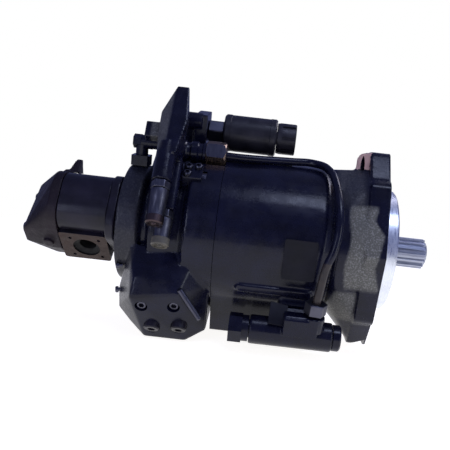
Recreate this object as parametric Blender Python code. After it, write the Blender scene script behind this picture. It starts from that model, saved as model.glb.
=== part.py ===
"""Axial piston pump with a rear gear pump, a two-stage control valve, a solenoid and a power valve.

Lengths below are in millimetres; every mesh is scaled to metres when it is made.
The shaft runs along X with its splined end towards +X, and X = 0 is the mounting face.
The two mounting ears lie along Z. Angles are in degrees and turn about +X from +Y towards +Z.
"""

from math import acos, atan2, cos, degrees, pi, radians, sin, sqrt, tan

import bmesh
import bpy
from mathutils import Matrix, Vector

MM = 0.001
GAP = 0.3

# Mounting flange and shaft
PILOT_R = 63.5
PILOT_LENGTH = 12.7
BOLT_OFFSET = 90.5
EAR_CORNERS = ((17, 88), (41, 60))
EAR_CORNER_R = 14.0
FLANGE_R = 74.0
BOLT_HOLE_R = 8.75
SPOT_FACE_R = 12.5
FLANGE_BACK = -20.0
NECK_BACK = -21.0
NECK_TOP = 82.0
SHAFT_R = 15.0
SPLINE_R = 15.9
SPLINE_TEETH = 14
SHAFT_END = 55.0

# Housing
BARREL_R = 80.0
SHOULDER_X = -52.0
SHOULDER_FILLET = 15.0
NECK_R = 70.0
NECK_FRONT = -46.0
JOINT_X = -166.0
CAVITY_R = 68.0
FRONT_WALL_X = -50.0

# Rotating group
TILT_X = -90.0
PITCH_R = 36.0
PISTONS = 9
PISTON_R = 8.0
BALL_R = 5.0
SLIPPER_BASE = 3.0
SWASH_FACE = 18.4
SWASH_BACK_R = 36.0
BARREL_BLOCK_R = 47.5
BARREL_BLOCK_X = (-161.6, -108.0)
ACTUATOR_Z = 57.0

# Rear castings
PORT_PLATE_REAR = -267.0
RIM_FRONT = -246.0
RIM_R = 62.0
GEAR_PLATE_REAR = -282.0
GEAR_BODY_REAR = -332.5
GEAR_COVER_REAR = -362.0

# Lower corners of the rear casting's faceted port block, and the section of the housing's foot
LOWER_BLOCK = (
    (-250, -58, -15), (-182, -66, -15), (-239, -81, -44), (-200, -81, -43), (-195, -83, -56),
    (-241, -83.5, -63), (-260, -48, -62), (-258, -50, -82), (-245, -52, -95), (-229, -54, -109),
    (-188, -54, -109), (-168, -52, -96), (-168, -60, -50), (-255, 40, -60), (-245, 40, -88),
    (-229, 30, -109), (-188, 30, -109), (-170, 40, -86),
)
FOOT_SECTION = ((-60, -50), (-25, -103), (25, -103), (60, -50), (0, -70))
PRESSURE_PORT = (-208, -10)
BACK_PORT_X = -217.0
BACK_PORT_ANGLE = 39.0
SCREW_ANGLES = (76, 131, 301, 346)
PLUG_SEATS = ((-220.6, -62.5, -95.0), (-193.6, -63.9, -92.7))
PLUG_ANGLE = 235
FOOT_FRONT = -98.0

# Gear pump section: long direction and port direction, in degrees about X
GEAR_LONG_ANGLE = 154.0
GEAR_OFFSET = 30.0
GEAR_PORT_X = -307.0
GEAR_TEETH = 12

# The rear cover's lug, from its root to its tip
COVER_LUG = (
    (-354, -22, 36), (-354, -4, 36), (-333, -22, 34), (-333, -4, 34), (-335, -18, 58), (-335, -8, 58),
    (-345, -20, 47), (-345, -6, 47), (-333, -18, 59), (-333, -8, 59),
)

# Control valve: a bar that lies tangent to the port plate
VALVE_X = -222.0
VALVE_ANGLE = 153.0
VALVE_PAD_TOP = 73.8
# Each stage: its axis's offset along X and distance from the shaft, then its nut's seat, its tip and
# the nut's size across its flats
PRESSURE_STAGE = (1.2, 94.4, -8, 36, 16)
FLOW_STAGE = (6.7, 77.5, 14, 51, 15)
# Corners of the leaning body and of its shoulder: across the valve, up along it, out from the shaft
VALVE_CORNERS = (
    (2, 108, 103.5), (13.6, 108.5, 103.5), (17, 72, 103.5), (11, 36, 103.5), (1, 36, 103.5),
    (1, 60, 103.5), (-4.5, 99, 91), (-12, 85, 91), (-11.5, 62, 91), (-9, 36, 91), (-12, 85, 74.1),
    (-11, 36, 74.1), (14, 36, 74.1), (14, 88, 74.1), (3, 102, 84),
)
VALVE_SHOULDER = ((60, 74), (80, 74), (60, 85), (76, 86))

# Solenoid valve and control pipe on top of the rear casting
UPPER_ANGLE = 101.0
PIPE_R = 85.4
PIPE_ANGLE = 108.0
NUT_X = -187.0

# Power valve
POWER_ANGLE = 232.3
POWER_DISTANCE = 107.7
POWER_HEAD = ((-70, -62), (-89, -62), (-92, -66), (-90, -82), (-70, -86))
BOSS_X = -63.2
BOSS_R = 92.4


def polar(x, radius, angle):
    """A point at a radius and an angle about the shaft axis."""
    a = radians(angle)
    return Vector((x, radius * cos(a), radius * sin(a)))


def along_x(origin=(0, 0, 0)):
    """Local Z becomes world X."""
    turn = Matrix(((0, 0, 1), (1, 0, 0), (0, 1, 0))).to_4x4()
    return Matrix.Translation(origin) @ turn


def facing(origin, direction, up=(1, 0, 0)):
    """Local Z points along direction, and local X lies as near to up as it can."""
    z = Vector(direction).normalized()
    if abs(z.dot(Vector(up))) > 0.999:
        up = (0, 0, 1)
    y = z.cross(Vector(up)).normalized()
    turn = Matrix((y.cross(z), y, z)).transposed().to_4x4()
    return Matrix.Translation(origin) @ turn


def clear_scene():
    for item in list(bpy.data.objects):
        bpy.data.objects.remove(item, do_unlink=True)


def material(name, colour, roughness, metallic):
    made = bpy.data.materials.new(name)
    made.use_nodes = True
    shader = made.node_tree.nodes["Principled BSDF"]
    shader.inputs["Base Color"].default_value = (*colour, 1.0)
    shader.inputs["Roughness"].default_value = roughness
    shader.inputs["Metallic"].default_value = metallic
    return made


def to_object(name, bm, place=None, origin=(0, 0, 0)):
    """Close a bmesh in millimetres into an object in metres, with its origin where it turns."""
    bmesh.ops.remove_doubles(bm, verts=bm.verts, dist=0.001)
    bmesh.ops.dissolve_degenerate(bm, edges=bm.edges, dist=0.001)
    bm.transform(Matrix.Translation(-Vector(origin)) @ (place or Matrix()))
    bm.transform(Matrix.Scale(MM, 4))
    bmesh.ops.recalc_face_normals(bm, faces=bm.faces)
    if bm.calc_volume(signed=True) < 0:
        bmesh.ops.reverse_faces(bm, faces=bm.faces)
    mesh = bpy.data.meshes.new(name)
    bm.to_mesh(mesh)
    bm.free()
    made = bpy.data.objects.new(name, mesh)
    made.location = Vector(origin) * MM
    bpy.context.scene.collection.objects.link(made)
    return made


def lathe(name, profile, segments=24, place=None, origin=(0, 0, 0)):
    """Spin a closed outline of (height, radius) points about local Z."""
    bm = bmesh.new()
    verts = [bm.verts.new((radius, 0, height)) for height, radius in profile]
    edges = [bm.edges.new((v, verts[i - 1])) for i, v in enumerate(verts) if v is not verts[i - 1]]
    bmesh.ops.spin(bm, geom=verts + edges, cent=(0, 0, 0), axis=(0, 0, 1), dvec=(0, 0, 0),
                   angle=2 * pi, steps=segments, use_merge=True)
    bmesh.ops.remove_doubles(bm, verts=bm.verts, dist=0.001)
    loose = [e for e in bm.edges if not e.link_faces]
    bmesh.ops.delete(bm, geom=loose, context="EDGES")
    return to_object(name, bm, along_x() if place is None else place, origin)


def rod(name, start, end, radius, segments=20, place=None, origin=(0, 0, 0), chamfer=0.0):
    """A cylinder from one height to another on local Z."""
    low, high = min(start, end), max(start, end)
    profile = [(low, 0), (low, radius - chamfer), (high, radius - chamfer), (high, 0)]
    if chamfer:
        profile[2:2] = [(low + chamfer, radius), (high - chamfer, radius)]
    return lathe(name, profile, segments, place, origin)


def ring(name, start, end, inner, outer, segments=24, place=None, origin=(0, 0, 0)):
    profile = [(start, inner), (start, outer), (end, outer), (end, inner)]
    return lathe(name, profile, segments, place, origin)


def prism(name, outline, start, end, place=None, origin=(0, 0, 0)):
    """Extrude a flat outline of local (x, y) points along local Z."""
    bm = bmesh.new()
    face = bm.faces.new([bm.verts.new((x, y, start)) for x, y in outline])
    grown = bmesh.ops.extrude_face_region(bm, geom=[face])
    moved = [v for v in grown["geom"] if isinstance(v, bmesh.types.BMVert)]
    bmesh.ops.translate(bm, verts=moved, vec=(0, 0, end - start))
    return to_object(name, bm, along_x() if place is None else place, origin)


def wrap(name, points):
    """The convex solid round points."""
    bm = bmesh.new()
    for point in points:
        bm.verts.new(point)
    bmesh.ops.convex_hull(bm, input=bm.verts)
    bmesh.ops.delete(bm, geom=[v for v in bm.verts if not v.link_faces], context="VERTS")
    bmesh.ops.dissolve_limit(bm, angle_limit=radians(0.5), verts=bm.verts, edges=bm.edges)
    return to_object(name, bm)


def block(name, low, high, place=None, origin=(0, 0, 0)):
    outline = [(low[0], low[1]), (high[0], low[1]), (high[0], high[1]), (low[0], high[1])]
    return prism(name, outline, low[2], high[2], Matrix() if place is None else place, origin)


def arc(centre, radius, start, end, steps):
    """Points on an arc, from one angle to another."""
    angles = [radians(start + (end - start) * i / steps) for i in range(steps + 1)]
    return [(centre[0] + radius * cos(a), centre[1] + radius * sin(a)) for a in angles]


def rounded(half_x, half_y, corner, steps=5):
    """A rectangle with round corners."""
    points = []
    for n, (sx, sy) in enumerate(((1, 1), (-1, 1), (-1, -1), (1, -1))):
        centre = (sx * (half_x - corner), sy * (half_y - corner))
        points += arc(centre, corner, 90 * n, 90 * n + 90, steps)
    return points


def hexagon(across_flats):
    corner = across_flats / sqrt(3)
    return [(corner * cos(radians(60 * i)), corner * sin(radians(60 * i))) for i in range(6)]


def combine(target, parts, operation):
    """Add a Boolean for each part, and hide the parts."""
    for part in parts:
        step = target.modifiers.new(part.name, "BOOLEAN")
        step.operation = operation
        step.solver = "EXACT"
        step.object = part
        part.hide_render = True
        part.display_type = "WIRE"
    return target


def unite(target, *parts):
    return combine(target, parts, "UNION")


def subtract(target, *parts):
    return combine(target, parts, "DIFFERENCE")


def paint(made, finish):
    made.data.materials.clear()
    made.data.materials.append(finish)
    return made


def joined(name, pieces):
    """One object out of several separate ones that share a finish."""
    bm = bmesh.new()
    for piece in pieces:
        piece.data.transform(Matrix.Translation(piece.location))
        bm.from_mesh(piece.data)
        bpy.data.objects.remove(piece, do_unlink=True)
    bm.transform(Matrix.Scale(1 / MM, 4))
    return to_object(name, bm, Matrix())


def cap_screw(name, seat, direction, radius, shank):
    """A cap screw: its head stands on the seat, and its shank goes the other way."""
    head_r, head_h = 1.5 * radius, 2 * radius
    profile = [(-shank, 0), (-shank, radius), (0, radius), (0, head_r),
               (head_h - 0.8, head_r), (head_h, head_r - 0.8), (head_h, 0)]
    return lathe(name, profile, 10, facing(Vector(seat) + Vector(direction) * GAP, direction))


def screw_hole(name, seat, direction, radius, shank):
    return rod(name, -shank - 1.5, 2, radius + GAP, 10, facing(seat, direction))


def make_screws(name, seats, direction, radius, shank, hosts, finish):
    """Equal cap screws, each with its hole through the hosts."""
    for i, seat in enumerate(seats, 1):
        paint(cap_screw(f"{name}_{i}", seat, direction, radius, shank), finish)
        for host in hosts:
            subtract(host, screw_hole(f"{name}_hole_{host.name}_{i}", seat, direction, radius, shank))


def flange_outline(scale=1.0):
    """The flange with its two wide ears, counter-clockwise: a round middle and four rounded corners."""
    points = [(FLANGE_R, 0)]
    corners = [(-y, z) for y, z in EAR_CORNERS]
    quarter = [(y, z) for y, z in reversed(EAR_CORNERS)]
    centres = quarter + corners + [(-y, -z) for y, z in quarter] + [(-y, -z) for y, z in corners]
    for n, (y, z) in enumerate(centres):
        middle = degrees(atan2(z, y))
        points += arc((y, z), EAR_CORNER_R, middle - 24, middle + 24, 4)
        if n == 3:
            points.append((-FLANGE_R, 0))
    return [(y * scale, z * scale) for y, z in points]


def make_housing(paint_finish):
    """The cast body: round barrel, shoulder, neck, pilot, two wide ears and the swashplate saddles."""
    fillet = [(SHOULDER_X - SHOULDER_FILLET + SHOULDER_FILLET * sin(radians(a)),
               BARREL_R - SHOULDER_FILLET + SHOULDER_FILLET * cos(radians(a))) for a in range(0, 91, 15)]
    outer = [(JOINT_X, BARREL_R), *fillet, (SHOULDER_X + 4, NECK_R), (-1, NECK_R), (0, NECK_R - 1),
             (0, PILOT_R), (PILOT_LENGTH - 1.5, PILOT_R), (PILOT_LENGTH, PILOT_R - 1.5)]
    inner = [(PILOT_LENGTH, 28), (-14, 28), (-14, 36), (FRONT_WALL_X, 36), (FRONT_WALL_X, 54),
             (-66, CAVITY_R), (JOINT_X, CAVITY_R)]
    body = lathe("pump_housing", outer + inner, 40)
    flange = prism("flange", flange_outline(), FLANGE_BACK, -0.1)
    small = [(NECK_FRONT, *p) for p in arc((0, 0), NECK_R + 1, 0, 345, 23)]
    large = [(NECK_BACK, y, min(z, NECK_TOP)) for y, z in flange_outline(0.95)]
    neck = wrap("neck", small + large)
    pilot_space = rod("pilot_space", FRONT_WALL_X - 2, 2, 50, 32)
    subtract(flange, pilot_space)
    subtract(neck, pilot_space)
    unite(body, flange, neck)
    pads = []
    for side in (-1, 1):
        saddle = block(f"saddle_{side}", (-57, 24, -19.8), (FRONT_WALL_X + 1, 50, 19.8),
                       Matrix.Diagonal((1, side, 1, 1)))
        pads.append(saddle)
    unite(body, *pads)
    trough = rod("saddle_trough", -51, 51, SWASH_BACK_R + 2.6, 48, facing((TILT_X, 0, 0), (0, 1, 0)))
    subtract(body, trough)
    rib_place = facing((-104, 0, 0), polar(0, 1, 213))
    rib = prism("side_rib", rounded(38, 4.5, 4.4, 3), 76, 84, rib_place)
    foot = prism("foot", FOOT_SECTION, JOINT_X, FOOT_FRONT)
    seat_place = facing((-78, 0, 0), polar(0, 1, POWER_ANGLE))
    seat = block("power_valve_seat", (-20, -17, 70), (20, 17, 86), seat_place)
    unite(body, rib, foot, seat)
    chamfer = prism("ear_chamfer", [(1, -93), (-20, -103), (1, -103)], -40, 40,
                    facing((0, 0, 0), (0, -1, 0)))
    subtract(body, chamfer)
    for side in (-1, 1):
        stepped = [(NECK_FRONT, 0), (NECK_FRONT, SPOT_FACE_R), (FLANGE_BACK, SPOT_FACE_R),
                   (FLANGE_BACK, BOLT_HOLE_R), (5, BOLT_HOLE_R), (5, 0)]
        subtract(body, lathe(f"ear_hole_{side}", stepped, 24, along_x((0, 0, side * BOLT_OFFSET))))
    return paint(body, paint_finish)


def make_port_plate(finish):
    """The rear casting with the side ports, the valve pad and the round rear rim."""
    profile = [(PORT_PLATE_REAR, 24), (PORT_PLATE_REAR, RIM_R - 2), (PORT_PLATE_REAR + 2, RIM_R),
               (RIM_FRONT, RIM_R), (RIM_FRONT + 3, 54), (-236, 54), (-232, 68), (-202, 68),
               (-196, BARREL_R - 1),
               (JOINT_X - GAP, BARREL_R), (JOINT_X - GAP, 26), (-214, 26), (-214, 24)]
    body = lathe("port_plate", profile, 40)
    lower = wrap("lower_block", LOWER_BLOCK)
    back_place = facing((0, 0, 0), polar(0, 1, BACK_PORT_ANGLE)) @ Matrix.Translation((BACK_PORT_X, 0, 0))
    back = prism("rear_port_block", rounded(36, 38, 8, 3), 40, 92, back_place)
    pad_place = facing((VALVE_X - 8.5, 0, 0), polar(0, 1, VALVE_ANGLE)) @ Matrix.Translation((0, 38, 0))
    pad = prism("valve_pad", rounded(5.3, 8.5, 3, 3), 40, VALVE_PAD_TOP, pad_place)
    solenoid_place = facing((0, 0, 0), polar(0, 1, UPPER_ANGLE))
    solenoid_pad = block("solenoid_pad", (-206, 20, 40), (-192, 56, 79.6), solenoid_place)
    for angle in SCREW_ANGLES:
        subtract(body, rod(f"screw_pocket_{angle}", -204, -182, 7.5, 20, along_x(polar(0, 74, angle))))
    unite(body, lower, back, pad, solenoid_pad)
    shaft_space = rod("shaft_space", PORT_PLATE_REAR - 2, JOINT_X + 2, 23.9, 32)
    nut_notch = rod("nut_notch", -200, -160, 15, 24, along_x(polar(0, PIPE_R, PIPE_ANGLE)))
    subtract(body, shaft_space, nut_notch)
    suction = rod("suction_port", 58, 96, 20, 24, back_place)
    pressure = rod("pressure_port", 75, 113, 13, 24, facing((*PRESSURE_PORT, 0), (0, 0, -1)))
    subtract(body, suction, pressure)
    return paint(body, finish)


def make_shaft(steel):
    """The drive shaft: splined end, bearing journals and the through-drive end."""
    profile = [(-252, 0), (-252, 11), (-206, 11), (-206, 12.5), (-186, 12.5), (-186, 14.6), (-110, 14.6),
               (-110, SHAFT_R), (-50, SHAFT_R), (-50, 19), (-38, 19), (-38, 17.5), (-16, 17.5), (-16, 16.5),
               (14, 16.5), (14, 13.4), (SHAFT_END - 3, 13.4), (SHAFT_END, 12), (SHAFT_END, 0)]
    shaft = lathe("drive_shaft", profile, 20)
    teeth = []
    for i in range(SPLINE_TEETH):
        outline = [(12.5, -1.9), (SPLINE_R, -1.1), (SPLINE_R, 1.1), (12.5, 1.9)]
        turn = Matrix.Rotation(2 * pi * i / SPLINE_TEETH, 4, "X")
        teeth.append(prism(f"spline_{i}", outline, 13, SHAFT_END - 2, turn @ along_x()))
    unite(shaft, joined("spline_teeth", teeth))
    return paint(shaft, steel)


def make_bearings(steel):
    """Tapered roller bearings: the cups sit in the castings and the cones turn with the shaft."""
    sizes = (("front", -36, -16, 35.7, 18.0), ("rear", -188, -206, 25.7, 12.8))
    for name, wide, narrow, cup_r, cone_r in sizes:
        middle = (cup_r + cone_r) / 2
        cup = [(wide, middle + 5.2), (wide, cup_r), (narrow, cup_r), (narrow, middle + 3.2)]
        cone = [(wide, cone_r), (wide, middle + 4.4), (narrow, middle + 2.4), (narrow, cone_r)]
        paint(lathe(f"{name}_bearing_cup", cup, 32), steel)
        paint(lathe(f"{name}_bearing_cone", cone, 32), steel)


def make_seal(rubber):
    seal = lathe("shaft_seal", [(-12, 17.0), (-12, 27.7), (-4, 27.7), (-4, 19.5), (-6, 19.5), (-6, 17.0)])
    return paint(seal, rubber)


def make_barrel(bronze):
    """The cylinder barrel with its nine bores."""
    start, end = BARREL_BLOCK_X
    barrel = ring("cylinder_barrel", start, end, SHAFT_R + GAP, BARREL_BLOCK_R, 36)
    bores = []
    for i in range(PISTONS):
        centre = polar(0, PITCH_R, 360 * i / PISTONS)
        bores.append(rod(f"bore_{i}", start + 6, end + 2, PISTON_R + 0.25, 12, along_x(centre)))
    return paint(subtract(barrel, joined("barrel_bores", bores)), bronze)


def make_pistons(steel):
    """Nine pistons with ball ends, at mid stroke."""
    for i in range(PISTONS):
        centre = polar(0, PITCH_R, 360 * i / PISTONS)
        ball = [(TILT_X + BALL_R * sin(radians(a)), BALL_R * cos(radians(a))) for a in range(-45, 90, 34)]
        profile = [(-146, 0), (-146, PISTON_R), (TILT_X - 16, PISTON_R), (TILT_X - 15, PISTON_R - 1),
                   (TILT_X - 15, 3.5), *ball, (TILT_X + BALL_R, 0)]
        paint(lathe(f"piston_{i + 1}", profile, 12, along_x(centre)), steel)


def make_slipper_ring(bronze):
    """Nine cup slippers that run on the swashplate, held together by the retaining plate."""
    face = TILT_X + SWASH_FACE - 0.4
    floor = face - SLIPPER_BASE
    plate = ring("slipper_ring", floor - 2.8, floor + 0.5, 21.7, 48.5, 36)
    for i in range(PISTONS):
        place = along_x(polar(0, PITCH_R, 360 * i / PISTONS))
        profile = [(face, 0), (face, 11.6), (floor, 11.6), (floor, 10.7), (TILT_X - 2, 10.7),
                   (TILT_X - 2, 9.1), (floor, 9.1), (floor, 0)]
        cup_space = rod(f"slipper_space_{i}", floor - 8, floor + 1, 9.8, 12, place)
        subtract(plate, cup_space)
        unite(plate, lathe(f"slipper_{i}", profile, 12, place))
    return paint(plate, bronze)


def make_retainer(steel):
    """The ball guide that presses the retaining plate."""
    outer = [(TILT_X + 24 * sin(radians(a)), 24 * cos(radians(a))) for a in range(-20, 36, 11)]
    profile = [(outer[0][0], SHAFT_R + GAP), *outer, (outer[-1][0], SHAFT_R + GAP)]
    return paint(lathe("retainer_ball", profile, 32), steel)


def make_swashplate(iron):
    """The tilting plate: running face, two round runners and a lug for each control piston."""
    pivot = (TILT_X, 0, 0)
    disc = rod("swashplate", TILT_X + SWASH_FACE, TILT_X + SWASH_FACE + 6, 50, 40, along_x(), pivot)
    runner = rod("swash_runner", -49, 49, SWASH_BACK_R, 48, facing(pivot, (0, 1, 0)))
    trim = block("swash_trim", (TILT_X - 60, -60, -60), (TILT_X + SWASH_FACE + 1, 60, 60))
    subtract(runner, trim)
    lugs = block("swash_lugs", (TILT_X + SWASH_FACE, -7, -60), (TILT_X + SWASH_FACE + 6, 7, 60))
    unite(disc, runner, lugs)
    hole = lathe("swash_hole", [(TILT_X + SWASH_FACE - 1, 0), (TILT_X + SWASH_FACE - 1, 22.4),
                                (TILT_X + SWASH_BACK_R + 2, 30.5), (TILT_X + SWASH_BACK_R + 2, 0)], 32)
    return paint(subtract(disc, hole), iron)


def make_cradle_bearings(bronze):
    """Two curved bearing shells under the swashplate runners."""
    inner, outer = SWASH_BACK_R + 0.3, SWASH_BACK_R + 2.3
    outline = arc((0, 0), outer, -29, 29, 12) + arc((0, 0), inner, 29, -29, 12)
    for side, name in ((-1, "left"), (1, "right")):
        start, end = sorted((side * 26, side * 48))
        swap = Matrix(((1, 0, 0), (0, 0, 1), (0, 1, 0))).to_4x4()
        place = Matrix.Translation((TILT_X, 0, 0)) @ swap
        paint(prism(f"cradle_bearing_{name}", outline, start, end, place), bronze)


def make_actuators(port_plate, steel):
    """The stroking piston above the shaft, the bias piston below it, their guides and the bias spring."""
    for name, z in (("stroking", ACTUATOR_Z), ("bias", -ACTUATOR_Z)):
        place = along_x((0, 0, z))
        unite(port_plate, ring(f"{name}_guide", JOINT_X - 4, -116, 6.4, 9.0, 20, place))
        tip = TILT_X + SWASH_FACE - 0.9
        profile = [(-140, 0), (-140, 6.1), (-112, 6.1), (-112, 4), (tip - 1.5, 4), (tip, 2.5), (tip, 0)]
        paint(lathe(f"{name}_piston", profile, 20, place), steel)
    turns, steps, coil_r, wire_r = 5, 50, 4.6, 0.8
    length = 22.0
    curve = bpy.data.curves.new("bias_spring", "CURVE")
    curve.dimensions = "3D"
    curve.bevel_depth = wire_r * MM
    curve.bevel_resolution = 1
    curve.use_fill_caps = True
    spline = curve.splines.new("POLY")
    spline.points.add(steps)
    for i, point in enumerate(spline.points):
        a = 2 * pi * turns * i / steps
        x = -164.5 + length * i / steps
        point.co = (x * MM, coil_r * cos(a) * MM, (coil_r * sin(a) - ACTUATOR_Z) * MM, 1)
    spring = bpy.data.objects.new("bias_spring", curve)
    bpy.context.scene.collection.objects.link(spring)
    spring.data.materials.append(steel)


def make_valve_plate(steel):
    """The port timing plate, with its two kidney slots."""
    plate = ring("valve_plate", JOINT_X + GAP, -162, 21, 47, 40)
    slots = []
    for side in (0, 180):
        outline = arc((0, 0), 41, side - 62, side + 62, 10) + arc((0, 0), 32, side + 62, side - 62, 10)
        slots.append(prism(f"kidney_{side}", outline, JOINT_X - 1, -160, along_x()))
    return paint(subtract(plate, joined("kidneys", slots)), steel)


def gear_outline(teeth, pitch_r, tip_r, root_r, thin):
    """An involute gear outline; thin is the share of the tooth width that is kept."""
    base_r = pitch_r * cos(radians(20))

    def involute(radius):
        a = acos(min(1.0, base_r / radius))
        return tan(a) - a

    half = pi / 2 / teeth * thin + involute(pitch_r)
    radii = [root_r, base_r, pitch_r, tip_r]
    points = []
    for n in range(teeth):
        centre = 2 * pi * n / teeth
        rising = [(r, centre - half + involute(r)) for r in radii]
        falling = [(r, centre + half - involute(r)) for r in reversed(radii)]
        points += [(r * cos(a), r * sin(a)) for r, a in rising + falling]
    return points


def gear_section(half_x, half_y, corner, drop=0.0):
    """A round-cornered section of the gear pump; drop moves it towards the port side."""
    long = Vector((cos(radians(GEAR_LONG_ANGLE)), sin(radians(GEAR_LONG_ANGLE))))
    short = Vector((-long.y, long.x))
    middle = long * GEAR_OFFSET / 2 + short * drop
    return [tuple(middle + long * x + short * y) for x, y in rounded(half_x, half_y, corner, 6)]


def make_gear_pump(dark, steel):
    """The gear pump: mounting plate, gear body, rear cover, two gears and their shafts."""
    long = polar(0, 1, GEAR_LONG_ANGLE)
    idler = long * GEAR_OFFSET
    front = prism("gear_pump_front_plate", gear_section(46.5, 34.5, 19, 3.5), GEAR_PLATE_REAR + GAP,
                  PORT_PLATE_REAR - GAP)
    body = prism("gear_pump_body", gear_section(45, 30, 21), GEAR_BODY_REAR + GAP, GEAR_PLATE_REAR)
    cover = prism("gear_pump_rear_cover", gear_section(44, 34, 17, 5), -350, GEAR_BODY_REAR)
    step = prism("cover_step", gear_section(38, 32, 14, 6), GEAR_COVER_REAR, -345)
    lug = wrap("cover_lug", COVER_LUG)
    unite(cover, step, lug)
    port_angle = GEAR_LONG_ANGLE + 90
    face = facing((0, 0, 0), polar(0, 1, port_angle))
    boss = prism("gear_port_boss", rounded(23, 24, 4, 3), 20, 38,
                 face @ Matrix.Translation((GEAR_PLATE_REAR - 23.5, -GEAR_OFFSET / 2, 0)))
    unite(body, boss)
    for centre, name in ((Vector((0, 0, 0)), "drive"), (idler, "idler")):
        place = along_x(centre)
        subtract(body, rod(f"{name}_gear_space", GEAR_BODY_REAR - 1, GEAR_PLATE_REAR + 1, 17.5, 32, place))
        subtract(cover, rod(f"{name}_rear_journal", -345, GEAR_BODY_REAR + 1, 8.3, 20, place))
        pocket_end = PORT_PLATE_REAR + 2 if name == "drive" else -270
        subtract(front, rod(f"{name}_front_journal", -290, pocket_end, 8.3, 20, place))
    port_place = face @ Matrix.Translation((GEAR_PORT_X, -GEAR_OFFSET / 2, 0))
    subtract(body, rod("gear_port", 12, 45, 8, 20, port_place))
    outline = gear_outline(GEAR_TEETH, 15.0, 16.9, 12.0, 0.84)
    for name, centre, turn in (("drive_gear", Vector((0, 0, 0)), 0), ("idler_gear", idler, pi)):
        phase = radians(GEAR_LONG_ANGLE)
        mesh_turn = phase if turn == 0 else phase + pi + pi / GEAR_TEETH
        outline_turned = [(x * cos(mesh_turn) - y * sin(mesh_turn), x * sin(mesh_turn) + y * cos(mesh_turn))
                          for x, y in outline]
        gear = prism(name, outline_turned, GEAR_BODY_REAR + 2, GEAR_PLATE_REAR - 2, along_x(centre), centre)
        reach = -254 if turn == 0 else -272
        journal = rod(f"{name}_shaft", -342, reach, 8, 20, along_x(centre))
        paint(unite(gear, journal), steel)
    sleeve = ring("coupling_sleeve", -266, -240, 11.3, 16, 24)
    subtract(sleeve, rod("sleeve_step", -268, -253, 8.3, 20))
    for piece in (front, body, cover):
        paint(piece, dark)
    paint(sleeve, steel)


def make_control_valve(finish, cap_finish, pale_finish, steel):
    """The two-stage control valve: a leaning body, two spools, two adjusters and their lock nuts."""
    place = facing((VALVE_X, 0, 0), polar(0, 1, VALVE_ANGLE + 90))
    side = 1 if place.to_3x3().col[1].dot(polar(0, 1, VALVE_ANGLE)) > 0 else -1

    def lane(x, distance):
        return place @ Matrix.Translation((x, side * distance, 0))

    corners = [place @ Vector((x, side * out, -rise)) for x, rise, out in VALVE_CORNERS]
    body = wrap("control_valve_body", corners)
    neck = rod("pressure_neck", -48, PRESSURE_STAGE[2], 10, 32, lane(*PRESSURE_STAGE[:2]))
    second = prism("flow_stage", rounded(9, 7.5, 3, 4), -40, FLOW_STAGE[2], lane(*FLOW_STAGE[:2]))
    shoulder = wrap("valve_shoulder", [place @ Vector((x, side * out, -rise)) for x in (-26, -8)
                                       for rise, out in VALVE_SHOULDER])
    unite(body, neck, second, shoulder)
    stages = (("pressure", PRESSURE_STAGE, cap_finish), ("flow", FLOW_STAGE, pale_finish))
    for name, (x, distance, end, tip, nut_size), finish_used in stages:
        spot = lane(x, distance)
        subtract(body, rod(f"{name}_spool_bore", end - 50, end + 2, 5.3, 20, spot))
        lands = [(-46, 0), (-46, 5), (-34, 5), (-34, 3.4), (-22, 3.4), (-22, 5), (-11, 5), (-11, 0)]
        paint(lathe(f"{name}_spool", [(end + z, r) for z, r in lands], 20, spot), steel)
        nut = prism(f"{name}_lock_nut", hexagon(nut_size), end + GAP, end + 8, spot)
        subtract(nut, rod(f"{name}_nut_bore", end - 2, end + 12, 5.4, 20, spot))
        outline = [(end - 6, 0), (end - 6, 5), (end + 8 + GAP, 5), (end + 8 + GAP, 8.6), (tip - 2, 8.6),
                   (tip, 7.2), (tip, 0)]
        cap = lathe(f"{name}_adjuster", outline, 24, spot, spot.translation)
        paint(nut, steel)
        paint(cap, finish_used)
    paint(body, finish)


def make_solenoid(finish, cap_finish, steel):
    """The solenoid valve on top: base block, hex tube, coil and plug socket."""
    upright = facing((0, 0, 0), polar(0, 1, UPPER_ANGLE))
    place = along_x(upright @ Vector((0, 38, 101)))
    base = block("solenoid_base", (-206, 18, 80), (-192, 58, 120), upright)
    lobe = rod("solenoid_base_lobe", -217, -198, 9, 20, along_x(upright @ Vector((0, 24, 112))))
    wing = block("solenoid_base_wing", (-215.5, 21, 80.6), (-204, 49, 109), upright)
    unite(base, lobe, wing)
    subtract(base, rod("solenoid_base_bore", -204, -180, 8.5, 20, place))
    tube = prism("solenoid_tube", hexagon(22), -192 + GAP, -175 - GAP, place)
    unite(tube, rod("solenoid_spigot", -202, -191, 8, 20, place))
    unite(tube, rod("solenoid_core", -176, -112, 7, 20, place))
    coil = ring("solenoid_coil", -175, -118, 7.4, 20, 32, place)
    shell = lathe("solenoid_socket", [(-118 + GAP, 7.4), (-118 + GAP, 16), (-114, 17), (-97, 17), (-97, 12),
                                      (-108, 12), (-108, 7.4)], 28, place)
    paint(base, finish)
    paint(tube, steel)
    paint(coil, cap_finish)
    paint(shell, cap_finish)


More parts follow.
